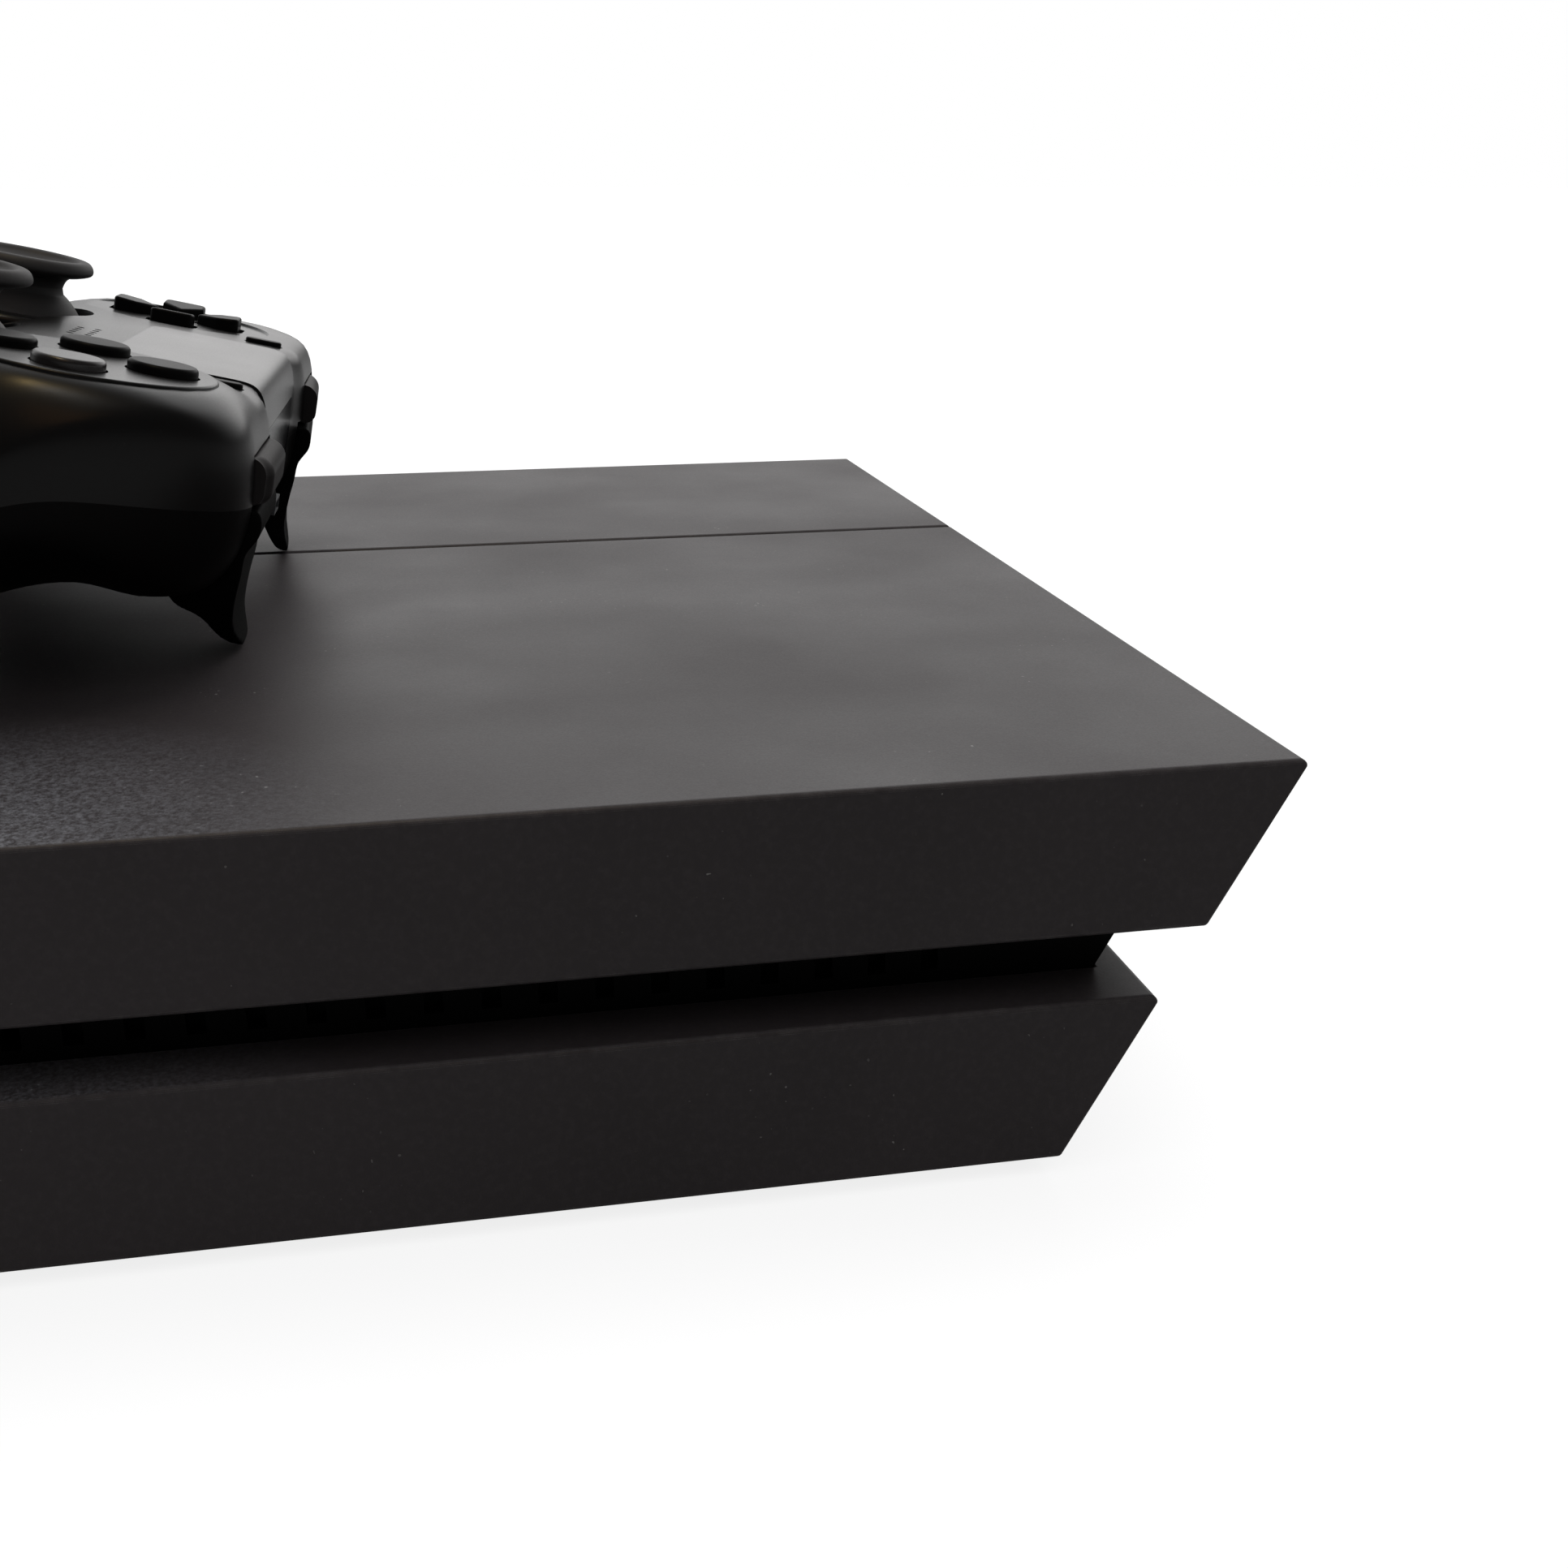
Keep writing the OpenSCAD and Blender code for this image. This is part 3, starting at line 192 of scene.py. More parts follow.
def plastic(name, hexa, rough, ior=1.45, vary=0.12, grain=0.35, bump=0.08, dust=0.0, mottle=0.0,
            metallic=0.0, edge=0.0, coat=0.0, paler_patch_at=None):
    """Moulded, painted or metal surface: grain in the bump, slow shade and gloss changes, and wear, with a painted
    highlight along edges.
    """
    base = shade(hexa)
    mat = bpy.data.materials.new(name)
    mat.use_nodes = True
    t = Tree(mat.node_tree)
    out = t.add("ShaderNodeOutputMaterial")
    bsdf = t.add("ShaderNodeBsdfPrincipled")
    t.feed(out, "Surface", bsdf.outputs[0])
    where = t.add("ShaderNodeTexCoord").outputs["Object"]
    slow = t.noise(where, 18.0, 3.0)
    dark = [c * (1 - vary) for c in base]
    light = [c * (1 + vary) for c in base]
    colour = t.mix(t.ramp(slow, 0.35, 0.65), rgba(dark), rgba(light))
    fine = t.noise(where, 1 / (grain * MM), 2.0, 0.6)
    gloss = t.math("ADD", t.ramp(slow, 0.3, 0.7, rough - GLOSS_VARY, rough + GLOSS_VARY),
                   t.ramp(fine, 0.3, 0.7, -0.03, 0.03))
    if mottle:
        blotch = t.ramp(t.noise(where, 900.0, 3.0, 0.7), 0.45, 0.75, 0.0, mottle)
        colour = t.mix(blotch, colour, rgba([c * 3.2 + 0.01 for c in base]))
    if dust:
        colour = dusty(t, where, colour, dust)
    if paler_patch_at:
        colour = paler_patch(t, where, colour, paler_patch_at)
    if edge:
        # pale marks along edges: partly wear, partly painted highlight
        colour = edge_wear_and_highlight(t, where, colour, edge)
    t.feed(bsdf, "Base Color", colour)
    t.feed(bsdf, "Roughness", gloss)
    bsdf.inputs["Metallic"].default_value = metallic
    bsdf.inputs["IOR"].default_value = ior
    if coat:
        bsdf.inputs["Coat Weight"].default_value = coat
        bsdf.inputs["Coat IOR"].default_value = ior
        bsdf.inputs["Coat Roughness"].default_value = 0.7 * rough
    relief = t.add("ShaderNodeBump", Height=fine)
    relief.inputs["Strength"].default_value = bump
    relief.inputs["Distance"].default_value = grain * MM * 0.4
    t.feed(bsdf, "Normal", relief.outputs[0])
    return mat


# each of the record's slots: colour, roughness and the rest of its look
FINISHES = {
    "cover_plastic": ("2c2829", 0.46, dict(ior=1.325, grain=0.30, bump=0.10, mottle=0.10, dust=0.5,
                                           edge=0.45, paler_patch_at=(-137.0, 22.0, 55.0))),
    "black_plastic": ("070707", 0.5, dict(ior=1.15, grain=0.5, bump=0.1)),
    "key_plastic": ("222020", 0.35, dict(grain=0.2)),
    "light_diffuser": ("55585e", 0.3, dict(grain=0.2)),
    "sheet_steel": ("6c6e70", 0.5, dict(metallic=0.9, grain=0.6, bump=0.04)),
    "roller_rubber": ("1b1c1e", 0.75, dict(grain=0.2)),
    "foot_rubber": ("161616", 0.8, dict(grain=0.3, bump=0.2)),
    "mat_rubber": ("3c3d40", 0.7, dict(grain=0.3)),
    "psu_plastic": ("26282a", 0.5, dict(grain=0.5, bump=0.2)),
    "circuit_board": ("163c29", 0.32, dict(grain=0.8, bump=0.2, vary=0.25)),
    "heat_aluminium": ("b0b2b4", 0.32, dict(metallic=0.9, grain=0.4)),
    "fan_plastic": ("1d1e1f", 0.38, dict(grain=0.4)),
    "steel": ("a7a9ab", 0.28, dict(metallic=0.95, grain=0.3, bump=0.03)),
    "port_plastic": ("8f9090", 0.35, dict(metallic=0.6, grain=0.3)),
    "pad_shell_plastic": ("0b0a0a", 0.36, dict(ior=1.27, grain=0.22, bump=0.06, dust=0.25, coat=0.5)),
    "pad_back_plastic": ("0a0909", 0.5, dict(ior=1.16, grain=0.3, bump=0.12)),
    "touch_plastic": ("0e0d0d", 0.36, dict(ior=1.28, grain=0.25, bump=0.1, coat=0.75)),
    "lens_plastic": ("040406", 0.2, dict(ior=1.2, grain=0.2, bump=0.01)),
    "control_plastic": ("0a0909", 0.35, dict(ior=1.14, grain=0.2, bump=0.05)),
    "trigger_plastic": ("080808", 0.5, dict(ior=1.06, grain=0.25, bump=0.05)),
    "stick_rubber": ("262424", 0.55, dict(grain=0.3, bump=0.15)),
    "battery_wrap": ("30343a", 0.4, dict(grain=0.5)),
}
MATERIALS = {slot: plastic(slot, hexa, rough, **rest) for slot, (hexa, rough, rest) in FINISHES.items()}

# the bumpers are a lighter copy of the trigger plastic, painted light for the lit near bumper; the nearest face
# button is shinier than the others
BUMPER = plastic("bumper_plastic_painted_lit", "201e1e", 0.38, ior=1.1, grain=0.25, bump=0.05)
LOOKS = {
    "bumper_left": BUMPER,
    "bumper_right": BUMPER,
    # the nearest button's lighter, pinker base than the other buttons is painted sheen
    "button_east": plastic("button_near_painted_sheen", "181414", 0.3, ior=1.6, grain=0.2, bump=0.05),
}


def dress_cad():
    """Every CAD node takes its slot's material."""
    for entry in frame["record"]["subparts"]:
        node = frame["nodes"][entry["node"]]
        node.data.materials.clear()
        node.data.materials.append(MATERIALS[entry["material_slot"]])


# ---------- controller form, in millimetres: u to the user's right, v to the nose, w off the face ----------
# nose line, back edge between the grips, grip ends, half width, where the sides stand widest,
# and where the rounding of the outline begins
PAD = {"front": 26.2, "waist": 40.0, "reach": 72.0, "half": 80.5, "side_v": -21.0, "corner": 58.0}
CLUSTER = 54.0  # from the middle to the direction pad's and the button panel's centres
PANEL_R, PANEL_H = 18.8, 2.4


def ease(x):
    x = min(1.0, max(0.0, x))
    return x * x * (3 - 2 * x)


def mix(a, b, t):
    return a * (1 - t) + b * t


def falloff(x, p, q):
    """Superellipse quarter: 1 at x = 0, down to 0 at x = 1."""
    return max(0.0, 1 - min(1.0, max(0.0, x)) ** p) ** (1 / q)


def in_grip(a):
    """0 between the grips, 1 in a grip; a is the distance from the middle."""
    return ease((a - 26) / 18)


def corner(a, off):
    return falloff((a - PAD["corner"]) / (PAD["half"] - off - PAD["corner"]), 2.5, 2.5)


def edge_front(a, off=0.0):
    """v of the shell's nose line."""
    return mix(PAD["side_v"], PAD["front"] - off, corner(a, off)) - 1.6 * (1 - ease((a - 28) / 10))


def edge_back(a, off=0.0):
    """v of the shell's back edge."""
    return mix(PAD["side_v"], off - mix(PAD["waist"], PAD["reach"], ease((a - 26) / 30)), corner(a, off))


def face_w(v, off):
    """Height of the face, which falls away towards the grips' ends."""
    return -off - 32 * (max(0.0, -12 - v) / 48) ** 1.7


def slump(v):
    """How far the grips sink behind v = 0."""
    return (math.sqrt(v * v + 36) - v) / 2


def under_w(a, v, off):
    """Height of the underside."""
    middle = -28 - 3 * min(1.0, max(0.0, (v + 40) / 50))
    grip = -31 - 0.505 * slump(v) - 1.6 * ease((v - 3) / 10)
    return off + mix(middle, grip, in_grip(a))


def seam_w(a, v):
    """Height of the seam between the two shells."""
    return mix(-15.5, -13 - 0.5 * slump(v), in_grip(a))


def swell(u, v):
    """The face rises towards the button panel."""
    r = math.hypot(u - CLUSTER, v)
    return (PANEL_H - 0.3 - 0.006 * r) * (1 - ease((r - PANEL_R + 0.5) / 8))


def end_fill(a, t, nose=28.0):
    """How full the section is along t, from the back (-1) to the nose (1)."""
    return falloff(abs(t), nose if t > 0 else mix(9, 3.5, in_grip(a)), 2)


def side_fill(a, v, off, start, grip_start):
    """How full the section is towards the side."""
    s = mix(start, grip_start, ease((-v - 2) / 34))
    return falloff((a - s) / (PAD["half"] - off - s), 2.5, 2.2)


def section(u, n, off, top, low):
    """Points round one section of the shell, over the top to the nose and back underneath."""
    a = abs(u)
    ring = []
    for i in range(2 * n):
        over = i <= n
        t = -math.cos(math.pi * i / n) if over else math.cos(math.pi * (i - n) / n)
        v = mix(edge_back(a, off), edge_front(a, off), (t + 1) / 2)
        m = seam_w(a, v)
        rim = min(1.0, 4 * end_fill(a, t) * side_fill(a, v, off, 70.5, 52))
        if over and top:
            w = m + (face_w(v, off) + swell(u, v) - m) * end_fill(a, t) * side_fill(a, v, off, 70.5, 52)
        elif over:
            w = m - 0.1 * rim
        elif low:
            w = m - (m - under_w(a, v, off)) * end_fill(a, t, 10.0) * side_fill(a, v, off, 22, 44)
        else:
            w = m + 0.1 * rim
        ring.append((u, v, w))
    return ring


def skin(rings):
    """Closed mesh over a row of rings."""
    m = len(rings[0])
    verts = [p for ring in rings for p in ring]
    faces = [(i * m + j, i * m + (j + 1) % m, (i + 1) * m + (j + 1) % m, (i + 1) * m + j)
             for i in range(len(rings) - 1) for j in range(m)]
    faces.append(tuple(range(m - 1, -1, -1)))
    faces.append(tuple((len(rings) - 1) * m + j for j in range(m)))
    return verts, faces


def loft(off, n, half, top=True, low=True):
    """Body inset by off, with 2 n points to a section and half sections on each side of the middle."""
    reach = PAD["half"] - 1.6 * off - 0.03
    return skin([section(reach * math.sin(math.pi / 2 * i / half), n, off, top, low)
                 for i in range(-half, half + 1)])


def prism(outline, low, high):
    return skin([[(x, y, low) for x, y in outline], [(x, y, high) for x, y in outline]])


def disc(cx, cy, radius, low, high, steps, top_radius=None):
    """Round prism or cone frustum."""
    rings = []
    for r, z in ((radius, low), (radius if top_radius is None else top_radius, high)):
        rings.append([(cx + r * math.cos(math.tau * k / steps), cy + r * math.sin(math.tau * k / steps), z)
                      for k in range(steps)])
    return skin(rings)


def box(x0, x1, y0, y1, z0, z1):
    return prism([(x0, y0), (x1, y0), (x1, y1), (x0, y1)], z0, z1)


def lathe(profile, at, steps):
    """Solid of revolution round w; the profile runs from the axis, over the outside, back to the axis."""
    verts, faces, rows = [], [], []
    for r, z in profile:
        if r < 1e-6:
            rows.append([len(verts)])
            verts.append((at[0], at[1], at[2] + z))
        else:
            rows.append(list(range(len(verts), len(verts) + steps)))
            verts += [(at[0] + r * math.cos(math.tau * k / steps),
                       at[1] + r * math.sin(math.tau * k / steps), at[2] + z) for k in range(steps)]
    for a, b in zip(rows, rows[1:]):
        for k in range(steps):
            j = (k + 1) % steps
            quad = [a[k % len(a)], a[j % len(a)], b[j % len(b)], b[k % len(b)]]
            face = [q for i, q in enumerate(quad) if q not in quad[:i]]
            if len(face) > 2:
                faces.append(tuple(reversed(face)))
    return verts, faces


def arc(cx, cy, r, a0, a1, n):
    """Points of an arc, with its angles in degrees."""
    return [(cx + r * math.cos(math.radians(a0 + (a1 - a0) * i / n)),
             cy + r * math.sin(math.radians(a0 + (a1 - a0) * i / n))) for i in range(n + 1)]


def round_rect(x0, x1, y0, y1, r):
    return (arc(x1 - r, y0 + r, r, -90, 0, 8) + arc(x1 - r, y1 - r, r, 0, 90, 8)
            + arc(x0 + r, y1 - r, r, 90, 180, 8) + arc(x0 + r, y0 + r, r, 180, 270, 8))


def pill(cx, cy, width, length):
    """Outline with half-round ends, along y."""
    r, h = width / 2, (length - width) / 2
    return arc(cx, cy + h, r, 0, 180, 12) + arc(cx, cy - h, r, 180, 360, 12)


def turned(points, at, degrees):
    """Points round (0, 0) turned and then moved to a place."""
    c, s = math.cos(math.radians(degrees)), math.sin(math.radians(degrees))
    return [(at[0] + x * c - y * s, at[1] + x * s + y * c) for x, y in points]


def laid(form, order):
    """Form with its axes exchanged: (2, 0, 1) makes the old z the new x, the old x the new y."""
    return [tuple(p[k] for k in order) for p in form[0]], form[1]


# ---------- mesh work ----------
def mesh_object(form):
    """Object of a form, which is a list of points and a list of faces."""
    mesh = bpy.data.meshes.new("form")
    mesh.from_pydata([Vector(p) for p in form[0]], [], form[1])
    mesh.update()
    obj = bpy.data.objects.new("form", mesh)
    scene.collection.objects.link(obj)
    bm = bmesh.new()
    bm.from_mesh(mesh)
    bmesh.ops.recalc_face_normals(bm, faces=bm.faces)
    bm.to_mesh(mesh)
    bm.free()
    return obj


def settle(obj):
    """Applies the object's modifiers to its mesh."""
    made = bpy.data.meshes.new_from_object(obj.evaluated_get(bpy.context.evaluated_depsgraph_get()))
    old = obj.data
    obj.modifiers.clear()
    obj.data = made
    bpy.data.meshes.remove(old)
    return obj


def combine(obj, operation, forms):
    """Joins forms to the object or cuts them out of it, one after another."""
    for form in forms:
        tool = form if isinstance(form, bpy.types.Object) else mesh_object(form)
        mod = obj.modifiers.new("combine", "BOOLEAN")
        mod.operation, mod.solver, mod.object = operation, "MANIFOLD", tool
        settle(obj)
        bpy.data.meshes.remove(tool.data)
    return obj


def finish_piece(obj, name, body, slot, nodes, sharp=32.0, place=None):
    """Moves a piece from controller millimetres to the frame, shades it, gives it its material, names it, attaches
    it to its body and hides the CAD nodes it takes the place of.
    """
    if place is not None:
        obj.data.transform(place)
    obj.name = obj.data.name = name
    bm = bmesh.new()
    bm.from_mesh(obj.data)
    bmesh.ops.remove_doubles(bm, verts=bm.verts, dist=0.002 * MM)
    bmesh.ops.dissolve_degenerate(bm, edges=bm.edges, dist=0.002 * MM)
    bm.to_mesh(obj.data)
    bm.free()
    obj.data.shade_smooth()
    obj.data.set_sharp_from_angle(angle=math.radians(sharp))
    mod = obj.modifiers.new("normals", "WEIGHTED_NORMAL")
    mod.keep_sharp = True
    settle(obj)
    obj.data.materials.clear()
    obj.data.materials.append(LOOKS.get(name, MATERIALS[slot]))
    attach(obj, body)
    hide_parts(*nodes)
    return obj


def bevel(obj, width, segments, angle):
    mod = obj.modifiers.new("bevel", "BEVEL")
    mod.width, mod.segments, mod.limit_method = width, segments, "ANGLE"
    mod.angle_limit = math.radians(angle)
    return settle(obj)


def pad_place():
    """The controller's own axes, from the two sticks' joints, and its face centre."""
    joint = {j["name"]: j for j in frame["joints"]}
    left = Vector(joint["left_stick_up_down"]["pos_m"])
    right = Vector(joint["right_stick_up_down"]["pos_m"])
    u = (right - left).normalized()
    v = Vector(joint["left_stick_left_right"]["axis"]).normalized()
    w = u.cross(v)
    centre = (left + right) / 2 - v * STICKS[0][1] * MM + w * STICK_DEEP * MM
    turn = Matrix((u, v, w)).transposed().to_4x4()
    return Matrix.Translation(centre) @ turn @ Matrix.Scale(MM, 4)


# ---------- controller shells ----------
BUMPER_U, BUMPER_W, BUMPER_D = (38.2, 60.4), (-13.3, -6.3), 7.0
TRIGGER_U, TRIGGER_HALF, TRIGGER_TIP = 47.5, 13.0, -38.47
HINGE = (22.5, -18.2)
PIN_HOLE, SCREW_HOLE = 1.35, 1.2
SLANT = 0.05  # the left bumper and trigger run back towards their outer ends, as in the photograph
STICKS = ((-28.0, -24.0), (28.0, -24.0))
STICK_DEEP = 7.0  # the sticks' joints below the face
STICK_HOLE = 12.6
BOSSES = ((-50.0, -50.0), (50.0, -50.0))
BUTTON_OUT = 11.0  # from the panel's centre to a face button
BUTTON_R, BUTTON_HOLE = 4.9, 5.2
ARM_HALF, ARM_REACH, ARM_LOW, ARM_TOP = 3.8, 11.4, -4.8, 2
ARM_GAP = 0.8
DISH_R, DISH_DEPTH = 16.5, 0.4  # round the direction pad
KEY_U, KEY_V, KEY_W, KEY_L = 36, 17.5, 2.6, 6.4
HOME_V, HOME_R, HOME_HOLE = -24, 5.7, 6.0
JACK_W, JACK_R = -20.7, 3.3
PORT_U, PORT_W = 4, (-24.5, -21.5)
TOUCH_U, TOUCH_V, TOUCH_CORNER = 28, -1, 3
LENS_U, LENS_W = 27, (-20, -7.6)


def bumper(side, grow=0.0, deep=0.0, n=40, taper=0.0):
    """Shoulder button along the nose line, grown and deepened where it is the hole's tool."""
    low, high = BUMPER_W
    sec = ([(BUMPER_D + deep, high + grow)] + arc(2.6, high - 2.6, 2.6 + grow, 90, 180, 10)
           + arc(2.0, low + 2.0, 2.0 + grow, 180, 270, 10) + [(BUMPER_D + deep, low - grow)])
    rings = []
    for i in range(n + 1):
        a = mix(BUMPER_U[0] - grow, BUMPER_U[1] + grow, math.sin(math.pi / 2 * i / n))
        front = edge_front(a) + 2.2 - 0.9 * ease((a - BUMPER_U[1] + 3) / 3)
        front -= taper * (a - BUMPER_U[0])
        rings.append([(side * a, front - q, z) for q, z in sec])
    return skin(rings)


def arm(grow):
    """Arrow-ended arm of the direction pad."""
    half, reach = ARM_HALF + grow, ARM_REACH + grow
    r = 1.3 + grow
    return ([(0, 3.4 - grow * 1.4), (half, 7.2)] + arc(half - r, reach - r, r, 0, 90, 5)
            + arc(-half + r, reach - r, r, 90, 180, 5) + [(-half, 7.2)])


def touch_hole():
    """The touchpad's and the light bar's holes."""
    hole = round_rect(-TOUCH_U - 0.3, TOUCH_U + 0.3, TOUCH_V - 0.3, PAD["front"] + 5, TOUCH_CORNER)
    strip = box(-LENS_U - 0.3, LENS_U + 0.3, PAD["front"] - 8, PAD["front"] + 5, LENS_W[0] - 0.3, -7)
    return [prism(hole, -7.3, 12.7), strip]


def trigger_hole():
    low, high = TRIGGER_U - TRIGGER_HALF - 0.5, TRIGGER_U + TRIGGER_HALF + 0.5
    return [box(s * low if s > 0 else -high, high if s > 0 else -low, 12.2, PAD["front"] + 6, -44, -12.8)
            for s in (-1, 1)]


def bumper_holes():
    return [bumper(side, 0.5, 12.0, 20) for side in (-1, 1)]


def button_place(k):
    """Face button k quarter turns round its panel, from the one furthest out."""
    return turned([(BUTTON_OUT, 0)], (CLUSTER, 0), 90 * k)[0]


def inner_space(posts):
    """Hollow of both shells, less the posts that stand in it."""
    return combine(mesh_object(loft(2.2, 24, 30)), "DIFFERENCE", posts)


def make_shells(place):
    make_upper(place)
    make_lower(place)


def make_upper(place):
    upper = mesh_object(loft(0, 56, 90, low=False))
    panel = [(0, -6), (PANEL_R, -6)] + arc(PANEL_R - 0.5, PANEL_H - 0.5, 0.5, 0, 90, 6) + [(0, PANEL_H)]
    combine(upper, "UNION", [lathe(panel, (CLUSTER, 0, 0), 128)])
    lip = [(0, -9), (16.6, -9)] + arc(15.2, -2.4, 1.4, 0, 90, 8) + [(0, -1)]
    combine(upper, "UNION", [lathe(lip, (u, v, 0), 128) for u, v in STICKS])
    combine(upper, "DIFFERENCE", [inner_space([disc(u, v, 3.4, -37.8, 2.2, 32) for u, v in BOSSES])])
    cuts = [disc(u, v, SCREW_HOLE, -38.8, -29.8, 24) for u, v in BOSSES]
    cuts += [disc(u, v, STICK_HOLE, -20, 10, 96) for u, v in STICKS]
    cuts += [disc(-CLUSTER, 0, DISH_R, -DISH_DEPTH, 4 - DISH_DEPTH, 128, DISH_R + 4)]
    for k in range(4):
        cuts.append(disc(*button_place(k), BUTTON_HOLE, -12, 8, 64))
        cuts.append(prism(turned(arm(ARM_GAP), (-CLUSTER, 0), 90 * k), -12, 8))
    cuts += [prism(pill(s * KEY_U, KEY_V, KEY_W + 0.5, KEY_L + 0.5), -8, 4) for s in (-1, 1)]
    cuts.append(disc(0, HOME_V, HOME_HOLE, -12, 8, 64))
    cuts += [disc(i * 2.6 + (j - 0.5) * 1.3, -7 - j * 2.6, 0.6, -6, 4, 20)
             for i in range(-2, 3) for j in (0, 1)]  # speaker holes
    cuts += touch_hole() + trigger_hole() + bumper_holes()
    combine(upper, "DIFFERENCE", cuts)
    finish_piece(upper, "pad_upper", "controller", "pad_shell_plastic", ["pad_front_shell"], place=place)


def make_lower(place):
    lower = mesh_object(loft(0, 56, 90, top=False))
    posts = [disc(u, v, 4.4, -77.8, -38.0, 32) for u, v in BOSSES]
    for s in (-1, 1):
        for x in (TRIGGER_U - 15.1, TRIGGER_U + 13.5):
            lo, hi = sorted((s * x, s * (x + 1.6)))
            posts.append(box(lo, hi, 13, PAD["front"], -27, -15.2))
    combine(lower, "DIFFERENCE", [inner_space(posts)])
    cuts = [disc(u, v, SCREW_HOLE, -58, -28, 24) for u, v in BOSSES]
    screw = under_w(50, -50, 0) + 4
    cuts += [disc(u, v, 3.0, screw - 18, screw + 2.2, 32) for u, v in BOSSES]
    reach = TRIGGER_U + 15.1
    cuts.append(laid(disc(HINGE[1], HINGE[0], PIN_HOLE, -reach, reach, 32), (2, 1, 0)))
    jack = disc(0, JACK_W, JACK_R, PAD["waist"] - 6, PAD["waist"] + 6, 32)
    cuts.append(([(x, -z, y) for x, y, z in jack[0]], jack[1]))
    cuts.append(box(-PORT_U, PORT_U, PAD["front"] - 8, PAD["front"] + 4, *PORT_W))
    cuts += touch_hole() + trigger_hole() + bumper_holes()
    combine(lower, "DIFFERENCE", cuts)
    finish_piece(lower, "pad_lower", "controller", "pad_back_plastic", ["pad_back_shell"], place=place)


def band(outer, inner, width):
    """Curved strip of the shell's middle profile between two insets."""
    def profile(off, w):
        ring = [(v, z) for _, v, z in section(0, 96, off, True, True)]
        return laid(prism(ring, -w / 2, w / 2), (2, 0, 1))
    return combine(mesh_object(profile(outer, width)), "DIFFERENCE", [profile(inner, width + 2)])


def make_touch(place):
    pad = band(-0.3, 1.4, 2 * TOUCH_U)
    outline = round_rect(-TOUCH_U, TOUCH_U, TOUCH_V, PAD["front"] + 5, TOUCH_CORNER)
    combine(pad, "INTERSECT", [prism(outline, -7, 13)])
    finish_piece(pad, "pad_touch", "touchpad", "touch_plastic", ["pad_touchpad"], place=place)
    lens = band(0, 1.5, 2 * LENS_U)
    combine(lens, "INTERSECT", [box(-LENS_U, LENS_U, 5, PAD["front"] + 5, *LENS_W)])
    finish_piece(lens, "pad_lens", "controller", "lens_plastic", ["pad_light_lens"], place=place)


# ---------- controller controls ----------
def smooth_line(points, n, sharp):
    """Closed Catmull-Rom curve through the points, straight at the sharp ones."""
    out, m = [], len(points)
    for i in range(m):
        p = [Vector(points[(i + k - 1) % m]) for k in range(4)]
        if i in sharp:
            p[0] = p[1]
        if (i + 1) % m in sharp:
            p[3] = p[2]
        for s in range(n):
            t = s / n
            q = 0.5 * (2 * p[1] + (p[2] - p[0]) * t + (2 * p[0] - 5 * p[1] + 4 * p[2] - p[3]) * t * t
                       + (3 * p[1] - p[0] - 3 * p[2] + p[3]) * t ** 3)
            out.append((q.x, q.y))
    return out


def trigger(side):
    """Curved lever on its hinge pin: its side outline cut to its front outline, then smoothed."""
    tip, (v, w) = TRIGGER_TIP, HINGE
    front = [(24.6, -13.9), (26.6, -13.9), (27.4, -14.6), (27.7, -16), (27.5, -17.8), (26.6, -19.4),
             (25.9, -21), (25.7, -24), (25.2, -28), (25, -32), (25.3, -34.4), (25.9, -36.3)]
    blade = [(26.3, tip + 0.7), (25.9, tip + 0.1), (25.3, tip), (24.1, tip + 0.8), (23, -36.2), (22, -34.6),
             (21, -33), (19.6, -31.8), (17.4, -30.9), (16, -29.6), (15.6, -27)]
    knuckle = arc(v, w, 3.4, 199, 80, 10)
    outline = smooth_line(knuckle + front + blade, 3, sharp=(0, len(knuckle) - 1, len(knuckle)))
    face = [(-13, -10), (-13, tip + 3.2), (-11.8, tip + 1.2), (-9.6, tip + 0.2), (-7.5, tip), (-5, tip + 0.2),
            (-2, tip + 1.1), (2, tip + 2.8), (6, tip + 5.4), (9, tip + 8.4), (11.4, tip + 12),
            (12.6, tip + 15.6), (13, tip + 19), (13, -10)]
    width = smooth_line(face, 3, sharp=(0, 1, 12, 13))
    solid = mesh_object(laid(prism(outline, -TRIGGER_HALF, TRIGGER_HALF), (2, 0, 1)))
    combine(solid, "INTERSECT", [laid(prism(width, 0, 40), (0, 2, 1))])
    hollow = prism([(10, -22.4), (22.6, -22.4), (22.9, -31.2), (10, -26.4)], -11.2, 6.5)
    combine(solid, "DIFFERENCE", [laid(hollow, (2, 0, 1))])
    mod = solid.modifiers.new("remesh", "REMESH")
    mod.mode, mod.voxel_size, mod.use_smooth_shade = "VOXEL", 0.3, True
    settle(solid)
    mod = solid.modifiers.new("smooth", "SMOOTH")
    mod.factor, mod.iterations = 0.5, 5
    settle(solid)
    combine(solid, "DIFFERENCE", [laid(disc(w, v, PIN_HOLE, -14, 14, 32), (2, 1, 0))])
    slant = Matrix.Identity(4)
    slant[1][0] = -SLANT if side < 0 else 0.0
    solid.data.transform(Matrix.Translation((TRIGGER_U, 0, 0)) @ slant)
    if side < 0:
        solid.data.transform(Matrix.Scale(-1, 4, (1, 0, 0)))
        solid.data.flip_normals()
    return solid


def make_controls(place):
    make_shoulders(place)
    make_buttons(place)
    make_cross(place)
    make_keys(place)


def make_shoulders(place):
    for side, word in ((-1, "left"), (1, "right")):
        bar = mesh_object(bumper(side, taper=SLANT if side < 0 else 0.0))
        finish_piece(bevel(bar, 0.8, 5, 50), "bumper_" + word, word + "_bumper",
                     "trigger_plastic", ["pad_%s_bumper" % word], place=place)
        finish_piece(trigger(side), "trigger_" + word, word + "_trigger",
                     "trigger_plastic", ["pad_%s_trigger" % word], 60, place=place)


